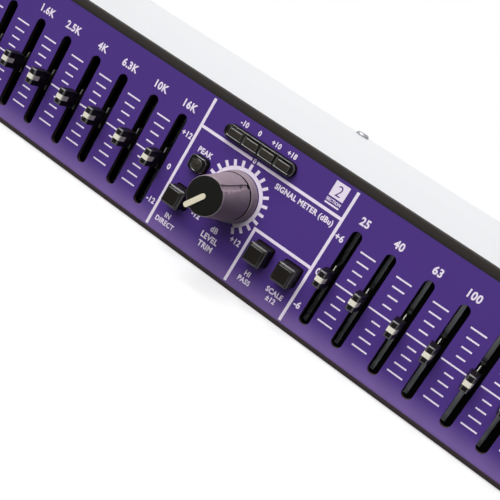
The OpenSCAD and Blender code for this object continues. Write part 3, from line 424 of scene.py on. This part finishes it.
def panel_paint():
    material, shader, place = start_finish("panel_paint", Specular_IOR_Level=0.15)
    rise = place.along("Z")
    face = (place.along("Y") < face_y + FACE_DEPTH) * rise.ramp(PURPLE_HIGH + SPRAY_EDGE, PURPLE_HIGH)
    face = face * rise.ramp(PURPLE_LOW - SPRAY_EDGE, PURPLE_LOW)
    peel = place.grain(0.35 * MM, 3.0)
    cloud = place.grain(20 * MM)
    purple = (cloud * 0.7 + peel * 0.3).blend(ink_of(74, 48, 127), ink_of(82, 56, 138))
    # Painted sheen: the purple lightens towards the lower rolled edge, where that edge catches light.
    purple = (rise.ramp(PAINTED_SHEEN_FROM, PURPLE_LOW) * 0.68).blend(purple, ink_of(140, 114, 176))
    black = peel.blend(ink_of(26, 23, 21), ink_of(36, 32, 29))
    # Painted light: the black turns lighter and browner from the middle down to the lower rolled edge, where
    # that edge is lit.
    black = rise.ramp(0, PURPLE_LOW).blend(black, ink_of(74, 63, 66))
    feed(shader, Base_Color=face.blend(black, purple), Roughness=0.72 - face * 0.34 + peel * 0.08,
         Normal=peel.relief(0.008 * MM, eased_edges(place, 0.12 * MM)))
    return material


dress("front_panel", panel_paint())


# Panel print
# Lines, scales and characters in lilac-white ink, screen printed on the purple face of the panel.
# The scales follow the faders and the knobs, so each is set out from the piece that it belongs to.
INK_PROUD, INK_SUNK = 0.03 * MM, 0.01 * MM
BANDS = (("25hz", "25"), ("40hz", "40"), ("63hz", "63"), ("100hz", "100"), ("160hz", "160"),
         ("250hz", "250"), ("400hz", "400"), ("630hz", "630"), ("1khz", "1K"),
         ("1k6hz", "1.6K"), ("2k5hz", "2.5K"), ("4khz", "4K"), ("6k3hz", "6.3K"),
         ("10khz", "10K"), ("16khz", "16K"))


def slab(shape, outline):
    """A thin slab of ink on the panel's face. Its outline runs anticlockwise, seen from the front."""
    front = [shape.verts.new((x, face_y - INK_PROUD, z)) for x, z in outline]
    back = [shape.verts.new((x, face_y + INK_SUNK, z)) for x, z in outline]
    shape.faces.new(front)
    shape.faces.new(back[::-1])
    for i, j in zip(range(len(outline)), [*range(1, len(outline)), 0]):
        shape.faces.new((front[j], front[i], back[i], back[j]))


def bar(shape, x0, z0, x1, z1):
    slab(shape, ((x0, z0), (x1, z0), (x1, z1), (x0, z1)))


STROKE, SPACING = 0.036, 1.08


def characters(words, stroke):
    """A word or number as a flat mesh, centred across, its strokes thickened by this much."""
    curve = bpy.data.curves.new("characters", "FONT")
    curve.body = words
    curve.align_x = "CENTER"
    curve.offset = stroke
    curve.space_character = SPACING
    curve.resolution_u = 4
    drawn = bpy.data.objects.new("characters", curve)
    bpy.context.scene.collection.objects.link(drawn)
    mesh = bpy.data.meshes.new_from_object(drawn.evaluated_get(bpy.context.evaluated_depsgraph_get()))
    bpy.data.objects.remove(drawn)
    bpy.data.curves.remove(curve)
    return mesh


CAPITAL = max(v.co.y for v in characters("H", STROKE).vertices)
SQUEEZE, LETTER_WELD = 0.88, 1e-5


def flat_label(words, x, z, height, stroke=STROKE):
    """Characters of that height round the point x, z, as a flat shape on the front of the ink."""
    flat = bmesh.new()
    flat.from_mesh(characters(words, stroke))
    bmesh.ops.remove_doubles(flat, verts=flat.verts, dist=LETTER_WELD)
    size = height / CAPITAL
    for vert in flat.verts:
        vert.co = (x + vert.co.x * size * SQUEEZE, face_y - INK_PROUD, z + vert.co.y * size - height / 2)
    return flat


def lay_ink(shape, flat):
    """Gives a flat shape the thickness of ink, and adds it to the print."""
    grown = bmesh.ops.extrude_face_region(flat, geom=flat.faces[:])
    for item in grown["geom"]:
        if isinstance(item, bmesh.types.BMVert):
            item.co.y = face_y + INK_SUNK
    bmesh.ops.recalc_face_normals(flat, faces=flat.faces)
    mesh = bpy.data.meshes.new("ink")
    flat.to_mesh(mesh)
    flat.free()
    shape.from_mesh(mesh)
    bpy.data.meshes.remove(mesh)


def label(shape, words, x, z, height):
    lay_ink(shape, flat_label(words, x, z, height))


BADGE_STROKE, BADGE_FILL = -0.004, 0.72


def badge(shape, words, x, z, width):
    """A square of ink with the characters left open in it, so that the paint shows."""
    flat = flat_label(words, x, z, width * BADGE_FILL, BADGE_STROKE)
    inner = [e for e in flat.edges if e.is_boundary]
    corners = [flat.verts.new((x + i * width / 2, face_y - INK_PROUD, z + j * width / 2))
               for i, j in ((-1, -1), (1, -1), (1, 1), (-1, 1))]
    outer = [flat.edges.new((a, b)) for a, b in zip(corners, corners[1:] + corners[:1])]
    bmesh.ops.delete(flat, geom=flat.faces[:], context="FACES_ONLY")
    bmesh.ops.triangle_fill(flat, use_beauty=True, edges=inner + outer)
    lay_ink(shape, flat)


def print_ink():
    material, shader, place = start_finish("print_ink", Specular_IOR_Level=0.3)
    screen = place.grain(0.18 * MM)
    feed(shader, Base_Color=screen.blend(ink_of(240, 227, 250), ink_of(252, 243, 255)),
         Roughness=0.45 + screen * 0.15)
    return material


ink = print_ink()
LINE, FINE = 0.82 * MM, 0.42 * MM
ZERO_Z = -3.1 * MM
LINE_LOW, LINE_HIGH = ZERO_Z - 16.4 * MM, ZERO_Z + 22.1 * MM
KNOB_IN, CONTROL_W = 17.97 * MM, 45.58 * MM
SHELF, SHELF_GAP = ZERO_Z + 14.15 * MM, 0.85 * MM
BOX_IN, SILL = 27.44 * MM, ZERO_Z - 0.45 * MM
BADGE_X, BADGE_Z, BADGE_W = 41.3 * MM, ZERO_Z + 19.7 * MM, 4.2 * MM
RULE_LOW, RULE_HIGH = ZERO_Z + 15.5 * MM, ZERO_Z + 15.95 * MM
LEVER_SHIFT, SLOT_W, TICK_CLEAR = 0.9 * MM, 3.05 * MM, 0.25 * MM
# Height over zero and length of each pair of scale ticks, in millimetres
TICKS = ((2.54, 2.55), (5.08, 2.9), (7.62, 3.5), (10.16, 4.45))
BAND_RISE, BAND_H, SHELF_ZERO_H = 16.8 * MM, 2.1 * MM, 1.3 * MM
# Words beside the first and the last fader, with their height over zero in millimetres
FIRST_SCALE, FIRST_OUT, FIRST_H = (("+6", 10.15), ("0", 0), ("-6", -10.2)), -3.6 * MM, 1.8 * MM
LAST_SCALE, LAST_OUT, LAST_H = (("+12", 10.1), ("0", 0), ("-12", -10.3)), 3.4 * MM, 1.6 * MM
DIAL_IN, DIAL_OUT, DIAL_REACH, DIAL_LAP = 7.0 * MM, 8.05 * MM, 9.7 * MM, 0.1 * MM
DIAL_SWEEP, DIAL_STEP, DIAL_CHORD = 150, 15, 3
# Words, place across the control section, height over zero and height of capitals, in millimetres
WORDS = (("-12", 11.3, -6.5, 1.6), ("+12", 24.5, -6.2, 1.6), ("dB", 18.0, -7.0, 1.6),
         ("LEVEL", 17.9, -9.6, 1.6), ("TRIM", 18.0, -12.1, 1.6), ("PEAK", 4.85, 8.7, 1.5),
         ("IN", 4.5, -11.35, 1.4), ("DIRECT", 4.6, -13.4, 1.4), ("HI", 32.0, -11.35, 1.4),
         ("PASS", 32.0, -13.4, 1.4), ("SCALE", 40.8, -11.35, 1.4), ("±12", 40.8, -13.4, 1.4),
         ("-10", 10.5, 20.8, 1.4), ("0", 15.4, 20.8, 1.4), ("+10", 20.8, 20.8, 1.4),
         ("+18", 25.8, 20.8, 1.4),
         ("SIGNAL METER (dBu)", 35.2, 12.0, 1.5), ("SECTION", 41.3, 16.75, 0.8))


def knob_axis(channel):
    low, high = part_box(f"gain_knob_{channel}")
    return (low.x + high.x) / 2, (low.z + high.z) / 2


def print_lines(shape, channel):
    """The lines that part the control section from the faders, and frame its meter and its buttons."""
    middle = knob_axis(channel)[0]
    x0, x1 = middle - KNOB_IN, middle - KNOB_IN + CONTROL_W
    half = LINE / 2
    for x in (x0, x1):
        bar(shape, x - half, LINE_LOW, x + half, LINE_HIGH)
    bar(shape, x0 + half, SHELF - half, middle - SHELF_GAP, SHELF + half)
    bar(shape, middle + SHELF_GAP, SHELF - half, x1 - half, SHELF + half)
    label(shape, "0", middle, SHELF, SHELF_ZERO_H)
    bar(shape, x0 + BOX_IN - half, LINE_LOW, x0 + BOX_IN + half, SILL + half)
    bar(shape, x0 + BOX_IN + half, SILL - half, x1 - half, SILL + half)


def print_dial(shape, channel):
    """The ring round a gain knob, with a tick every fifteen degrees."""
    x, z = knob_axis(channel)

    def spot(angle, radius):
        turn = math.radians(angle)
        return Vector((x + radius * math.sin(turn), z + radius * math.cos(turn)))

    sweep = range(-DIAL_SWEEP, DIAL_SWEEP + 1, DIAL_CHORD)
    slab(shape, [spot(a, DIAL_IN) for a in sweep] + [spot(a, DIAL_OUT) for a in reversed(sweep)])
    for angle in range(-DIAL_SWEEP, DIAL_SWEEP + 1, DIAL_STEP):
        root, tip = spot(angle, DIAL_OUT - DIAL_LAP), spot(angle, DIAL_REACH)
        out = (tip - root).normalized()
        side = Vector((out.y, -out.x)) * LINE / 2
        slab(shape, [root - side, root + side, tip + side, tip - side])


def print_scales(shape, channel):
    """The fader scales: a column of ticks between every two slots, and the frequencies over the slots."""
    middles = []
    for band, words in BANDS:
        low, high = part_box(f"fader_{channel}_{band}")
        middles.append((low.x + high.x) / 2 + LEVER_SHIFT)
        label(shape, words, middles[-1], ZERO_Z + BAND_RISE, BAND_H)
    for left, right in zip(middles, middles[1:]):
        x = (left + right) / 2
        reach = (right - left - SLOT_W) / 2 - TICK_CLEAR
        bar(shape, x - reach, ZERO_Z - FINE / 2, x + reach, ZERO_Z + FINE / 2)
        for rise, length in TICKS:
            for z in (ZERO_Z + rise * MM, ZERO_Z - rise * MM):
                bar(shape, x - length * MM / 2, z - FINE / 2, x + length * MM / 2, z + FINE / 2)
    for words, rise in FIRST_SCALE:
        label(shape, words, middles[0] + FIRST_OUT, ZERO_Z + rise * MM, FIRST_H)
    for words, rise in LAST_SCALE:
        label(shape, words, middles[-1] + LAST_OUT, ZERO_Z + rise * MM, LAST_H)


def print_words(shape, channel):
    """Numbers round the dial and over the meter, plain words at the controls, and the channel's badge."""
    x0 = knob_axis(channel)[0] - KNOB_IN
    for words, x, rise, height in WORDS:
        label(shape, words, x0 + x * MM, ZERO_Z + rise * MM, height * MM)
    badge(shape, str(channel), x0 + BADGE_X, BADGE_Z, BADGE_W)
    bar(shape, x0 + BADGE_X - BADGE_W / 2, RULE_LOW, x0 + BADGE_X + BADGE_W / 2, RULE_HIGH)


for channel in (1, 2):
    for kind, draw in (("lines", print_lines), ("dial", print_dial), ("scales", print_scales),
                       ("words", print_words)):
        shape = bmesh.new()
        draw(shape, channel)
        hand_over(shape, f"printed_{kind}_{channel}", (ink,), "case", "panel_paint")


# Lamps
# Smoked lenses of the level meter and of the overload lamp, shown unlit, and the glossy black frames that
# hold them. The frames are moulded with a rim, and are pushed through the panel from behind until it stops.
FRAME_EASE, LENS_EASE, FRONT_CLEAR, EDGE_SLOT = 0.3 * MM, 0.2 * MM, 1 * MM, 1
frame_black = moulded("frame_black", ink_of(11, 10, 9), ink_of(18, 17, 15), 0.3, 0.3 * MM, 0.06)
edge_black = moulded("edge_black", ink_of(26, 24, 24), ink_of(40, 38, 38), 0.14, 0.8 * MM, 1.0)
lens_smoke = moulded("lens_smoke", ink_of(40, 36, 30), ink_of(56, 51, 45), 0.25, 1.5 * MM, 0.1)
lens_edge = moulded("lens_edge", ink_of(60, 56, 48), ink_of(78, 72, 64), 0.25, 0.8 * MM, 0.5)


def stands_out(spot):
    """Whether a spot lies well in front of the panel."""
    return spot.y < face_y - FRONT_CLEAR


hand_over(eased_shape("lamp_frames", FRAME_EASE, EDGE_SLOT, stands_out), "lamp_frames_eased",
          (frame_black, edge_black), "case", "black_plastic", "lamp_frames")
hand_over(eased_shape("lamp_lenses", LENS_EASE, EDGE_SLOT), "lamp_lenses_eased",
          (lens_smoke, lens_edge), "case", "lamp_plastic", "lamp_lenses")


# Push buttons
# Square black buttons, moulded in one with the raised pad on their front and the stem behind them.
# The stem is pushed into the switch on the upright board, and the button shows through a hole in the panel.
BUTTON_EASE = 0.2 * MM
button_black = moulded("button_black", ink_of(22, 19, 16), ink_of(33, 29, 25), 0.3, 0.3 * MM, 0.06)
button_edge = moulded("button_edge", ink_of(24, 22, 19), ink_of(36, 34, 30), 0.24, 0.8 * MM, 0.7)
for channel in (1, 2):
    for use in ("bypass", "low_cut", "range"):
        name = f"{use}_button_{channel}"
        hand_over(eased_shape(name, BUTTON_EASE, EDGE_SLOT, stands_out), name + "_eased",
                  (button_black, button_edge), name, "button_plastic", name)


# Gain knobs
# Tapered knobs moulded in satin grey, skirted and grooved, with a matt black front and a line down one side.
# A cream pointer is let into the front and bends over its edge. A set screw in the line holds each knob on
# the flat of its potentiometer's shaft, so it turns with the shaft.
POINTER_RISE, BLACK_DEPTH, RIM_DEPTH = 0.2 * MM, 0.3 * MM, 0.55 * MM
# Distance of the groove's ends behind the front, and its outer radius; inside these the groove is painted
# black as painted shade
GROOVE_FRONT, GROOVE_BACK, GROOVE_R = 13.85 * MM, 14.55 * MM, 6.5 * MM
SKIRT_R, KNOB_EASE, SET_SCREW_REACH = 6.4 * MM, 0.15 * MM, 2 * MM
SATIN, BLACK, STEEL, CREAM, RIM = range(5)


def satin_knob():
    material, shader, place = start_finish("knob_satin", Specular_IOR_Level=0.06)
    brushed = place.grain(0.25 * MM, 3.0)
    cloud = place.grain(3 * MM)
    grey = (brushed * 0.4 + cloud * 0.6).blend(ink_of(140, 122, 132), ink_of(168, 150, 162))
    feed(shader, Base_Color=grey,
         Roughness=0.36 + brushed * 0.1 + cloud * 0.06,
         Normal=brushed.relief(0.004 * MM))
    return material


def cream_plastic(name, dark, pale):
    """Pale plastic or thick paint, a little mottled."""
    material, shader, place = start_finish(name, Specular_IOR_Level=0.4)
    mottle = place.grain(0.4 * MM, 3.0)
    feed(shader, Base_Color=mottle.blend(dark, pale), Roughness=0.38 + mottle * 0.15)
    return material


knob_satin = satin_knob()
knob_rim = moulded("knob_rim", ink_of(124, 107, 116), ink_of(150, 134, 144), 0.2, 0.8 * MM, 0.8)
knob_black = moulded("knob_black", ink_of(14, 15, 12), ink_of(21, 22, 18), 0.55, 0.2 * MM, 0.08)
shaft_steel = turned_metal("shaft_steel", ink_of(150, 150, 150), ink_of(184, 184, 182), 0.25)
pointer_cream = cream_plastic("pointer_cream", ink_of(228, 220, 192), ink_of(240, 234, 208))


def knob_material(body, tip):
    """Which material a body of a knob takes: the shaft and the screw are steel, and the pointer is cream."""
    depths = [v.co.y for f in body for v in f.verts]
    if max(depths) > 0 or max(depths) - min(depths) < SET_SCREW_REACH:
        return STEEL
    return CREAM if min(depths) < tip + POINTER_RISE / 2 else SATIN


def moulding_finish(face, front, axis):
    """Which finish a face of a knob's moulding takes: black in front, black as painted shade in the groove,
    glossy on edges.
    """
    depths = [v.co.y - front for v in face.verts]
    in_groove_shade = GROOVE_FRONT < min(depths) and max(depths) < GROOVE_BACK
    inside = all((Vector((v.co.x, v.co.z)) - axis).length < GROOVE_R for v in face.verts)
    # Faces in the groove are painted black, as painted shade under the body's edge.
    if max(depths) < BLACK_DEPTH or in_groove_shade and inside:
        return BLACK
    return RIM if max(depths) < RIM_DEPTH or face.material_index == RIM else SATIN


for channel in (1, 2):
    name = f"gain_knob_{channel}"
    axis = Vector(knob_axis(channel))
    shape = eased_shape(name, KNOB_EASE, RIM,
                        lambda spot: (Vector((spot.x, spot.z)) - axis).length > SKIRT_R)
    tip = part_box(name)[0].y
    for body in bodies_in(shape):
        kind = knob_material(body, tip)
        for face in body:
            face.material_index = moulding_finish(face, tip + POINTER_RISE, axis) if kind == SATIN else kind
    hand_over(shape, name + "_eased", (knob_satin, knob_black, shaft_steel, pointer_cream, knob_rim), name,
              "knob_plastic", name)


# Faders
# A black cap with a white stripe printed over its front and a little way down its sides, pressed on a
# stamped steel lever that runs in the slide potentiometer behind the panel.
STRIPE_W, STRIPE_PROUD, CAP_EASE = 1.35 * MM, 0.03 * MM, 0.15 * MM
# Material slots after the first, which is the cap's own
LEVER, STRIPE, CAP_EDGE = 1, 2, 3
# Half width of the cap and distance in front of the panel's mounting face, in millimetres
CAP_SIDE = ((1.22, 5.6), (1.065, 7.9), (1.03, 8.08), (0.92, 8.2), (0.78, 8.29), (0.6, 8.3))
cap_black = moulded("cap_black", ink_of(14, 11, 12), ink_of(23, 18, 20), 0.3, 0.3 * MM, 0.08)
lever_steel = turned_metal("lever_steel", ink_of(104, 103, 100), ink_of(134, 133, 130), 0.3)
stripe_white = cream_plastic("stripe_white", ink_of(230, 224, 206), ink_of(243, 239, 224))


def add_stripe(shape, x):
    """A thin band of white round the front of a cap."""
    half = [Vector((w * MM, -d * MM)) for w, d in CAP_SIDE]
    path = half + [Vector((-p.x, p.y)) for p in reversed(half)]
    rows = []
    for i, spot in enumerate(path):
        ahead = path[min(i + 1, len(path) - 1)] - path[max(i - 1, 0)]
        out = Vector((-ahead.y, ahead.x)).normalized()
        out = out if out.dot(spot - Vector((0, path[0].y))) > 0 else -out
        for depth in (STRIPE_PROUD, -STRIPE_PROUD):
            place = spot + out * depth
            rows.append([shape.verts.new((x + place.x, place.y, ZERO_Z + s * STRIPE_W / 2))
                         for s in (-1, 1)])
    outer, inner = rows[0::2], rows[1::2]
    faces = []
    for i in range(len(path) - 1):
        for a, b in ((outer[i], outer[i + 1]), (inner[i + 1], inner[i])):
            faces.append(shape.faces.new((a[0], a[1], b[1], b[0])))
        for s in (0, 1):
            faces.append(shape.faces.new((outer[i][s], outer[i + 1][s], inner[i + 1][s], inner[i][s])))
    for i in (0, -1):
        faces.append(shape.faces.new((outer[i][0], outer[i][1], inner[i][1], inner[i][0])))
    bmesh.ops.recalc_face_normals(shape, faces=faces)
    for face in faces:
        face.material_index = STRIPE


for channel in (1, 2):
    for band, _ in BANDS:
        name = f"fader_{channel}_{band}"
        shape = eased_shape(name, CAP_EASE, CAP_EDGE)
        for body in bodies_in(shape):
            if max(v.co.y for f in body for v in f.verts) > 0:
                for face in body:
                    face.material_index = LEVER
        low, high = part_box(name)
        add_stripe(shape, (low.x + high.x) / 2)
        hand_over(shape, name + "_eased", (cap_black, lever_steel, stripe_white, edge_black), name,
                  "cap_plastic", name)


# Top cover and screws
# The cover is a third plated sheet, folded down at the sides and tucked under the panel's upper lip.
# Pan-head screws hold it to the tray and the rear panel, and countersunk ones hold the tray's tongue.
RECESS_REACH, RECESS_W, RECESS_DEPTH, RECESS_TAPER = 1.35 * MM, 0.55 * MM, 0.8 * MM, 0.55
# A face with more sides than this is a disc of a screw
SCREW_EASE, DISC_SIDES = 0.1 * MM, 11


def cross_recess(shape, crown):
    """Cuts the cross for a driver into the flat crown of a screw's head."""
    axis = crown.normal.copy()
    centre = crown.calc_center_median()
    right = axis.orthogonal().normalized()
    up = axis.cross(right)
    half, reach = RECESS_W / 2, RECESS_REACH
    arms = ((reach, -half), (reach, half), (half, half), (half, reach), (-half, reach), (-half, half),
            (-reach, half), (-reach, -half), (-half, -half), (-half, -reach), (half, -reach), (half, -half))
    lip = [shape.verts.new(centre + right * a + up * b) for a, b in arms]
    floor = [shape.verts.new(centre + (right * a + up * b) * RECESS_TAPER - axis * RECESS_DEPTH)
             for a, b in arms]
    rim = list(crown.edges)
    shape.faces.remove(crown)
    mouth = [shape.edges.new((a, b)) for a, b in zip(lip, lip[1:] + lip[:1])]
    bmesh.ops.triangle_fill(shape, use_beauty=True, use_dissolve=False, edges=rim + mouth, normal=axis)
    shape.faces.new(floor)
    for i in range(len(lip)):
        shape.faces.new((lip[i - 1], lip[i], floor[i], floor[i - 1]))


def screws(name, material):
    """The screws of a node with eased heads, each with its cross recess."""
    shape = eased_shape(name, SCREW_EASE)
    for body in bodies_in(shape):
        discs = [f for f in body if len(f.verts) > DISC_SIDES]
        crown = max(discs, key=lambda f: f.calc_area())
        cross_recess(shape, crown)
    bmesh.ops.recalc_face_normals(shape, faces=shape.faces)
    hand_over(shape, name + "_eased", (material,), "case", "screw_steel", name)


dress("top_cover", case_zinc)
screw_zinc = turned_metal("screw_zinc", ink_of(138, 139, 142), ink_of(166, 167, 170), 0.3)
screws("pan_screws", screw_zinc)
screws("lip_screws", screw_zinc)


# Studio
# A plain white floor and backdrop, lit softly from the front and the back, and from above for the edges.
# The floor is one flat sheet under the part. The camera stands where the photograph was taken from.
def studio_white(tree, lit, white):
    """Shows white to the eye and through reflection and glass, and the lit shader to other light."""
    path = Wire(tree)
    seen = path.node("LightPath", output="Is Camera Ray") + path.node("LightPath", output="Is Glossy Ray")
    seen = seen + path.node("LightPath", output="Is Transmission Ray")
    return seen.node("MixShader", None, {0: seen.math("MINIMUM", seen, 1.0), 1: lit, 2: white})


WHITE = (1.0, 1.0, 1.0, 1.0)
FLOOR_HALF, FLOOR_GAP = 6.0, 0.02 * MM
FLOOR_PALE, FLOOR_VEIL = (0.1, 0.1, 0.1, 1.0), (0.4, 0.4, 0.4, 1.0)
FLOOR_GLOW, AMBIENT, BACKDROP = 0.62, 0.07, 1.0
floor_shape = bmesh.new()
bmesh.ops.create_grid(floor_shape, x_segments=1, y_segments=1, size=FLOOR_HALF)
floor_mesh = bpy.data.meshes.new("floor")
floor_shape.to_mesh(floor_mesh)
floor_shape.free()
floor = bpy.data.objects.new("floor", floor_mesh)
floor.location.z = solid_box[0].z - FLOOR_GAP
bpy.context.scene.collection.objects.link(floor)
floor_white = bpy.data.materials.new("floor_white")
floor_white.use_nodes = True
floor_tree = floor_white.node_tree
floor_tree.nodes.clear()
ground = Wire(floor_tree)
pale = ground.node("BsdfDiffuse", None, {"Color": FLOOR_PALE})
veil = ground.node("BsdfDiffuse", None, {"Color": FLOOR_VEIL})
glow = ground.node("Emission", None, {"Color": WHITE, "Strength": FLOOR_GLOW})
shaded = ground.node("AddShader", None, {0: veil, 1: glow})
ground.node("OutputMaterial", None, {"Surface": studio_white(floor_tree, pale, shaded)})
floor_mesh.materials.append(floor_white)

world = bpy.data.worlds.new("studio")
bpy.context.scene.world = world
world.use_nodes = True
world.node_tree.nodes.clear()
sky = Wire(world.node_tree)
ambient = sky.node("Background", None, {"Color": WHITE, "Strength": AMBIENT})
backdrop = sky.node("Background", None, {"Color": WHITE, "Strength": BACKDROP})
sky.node("OutputWorld", None, {"Surface": studio_white(world.node_tree, ambient, backdrop)})


def soft_sun(name, strength, spread, turn):
    """A broad soft light from far away, so that the floor is evenly lit."""
    lamp = bpy.data.lights.new(name, "SUN")
    lamp.energy = strength
    lamp.angle = math.radians(spread)
    holder = bpy.data.objects.new(name, lamp)
    holder.rotation_euler = [math.radians(a) for a in turn]
    bpy.context.scene.collection.objects.link(holder)


soft_sun("key_light", strength=3.1, spread=60, turn=(46, 0, -20))
soft_sun("top_light", strength=0.75, spread=16, turn=(11.5, -21.5, 0))
soft_sun("back_light", strength=0.75, spread=60, turn=(-58, 0, 15))

SENSOR_W, LENS, NEAREST = 36.0, 63.11, 0.01
CAMERA_PLACE = (94.58 * MM, -211.16 * MM, 46.54 * MM)
CAMERA_TURN = (73.56, -30.12, 25.74)
camera = bpy.data.objects.new("camera", bpy.data.cameras.new("camera"))
camera.data.sensor_width = SENSOR_W
camera.data.lens = LENS
camera.data.clip_start = NEAREST
camera.location = CAMERA_PLACE
camera.rotation_euler = Euler([math.radians(a) for a in CAMERA_TURN], "XYZ")
bpy.context.scene.collection.objects.link(camera)
bpy.context.scene.camera = camera
bpy.context.scene.view_settings.view_transform = "Standard"
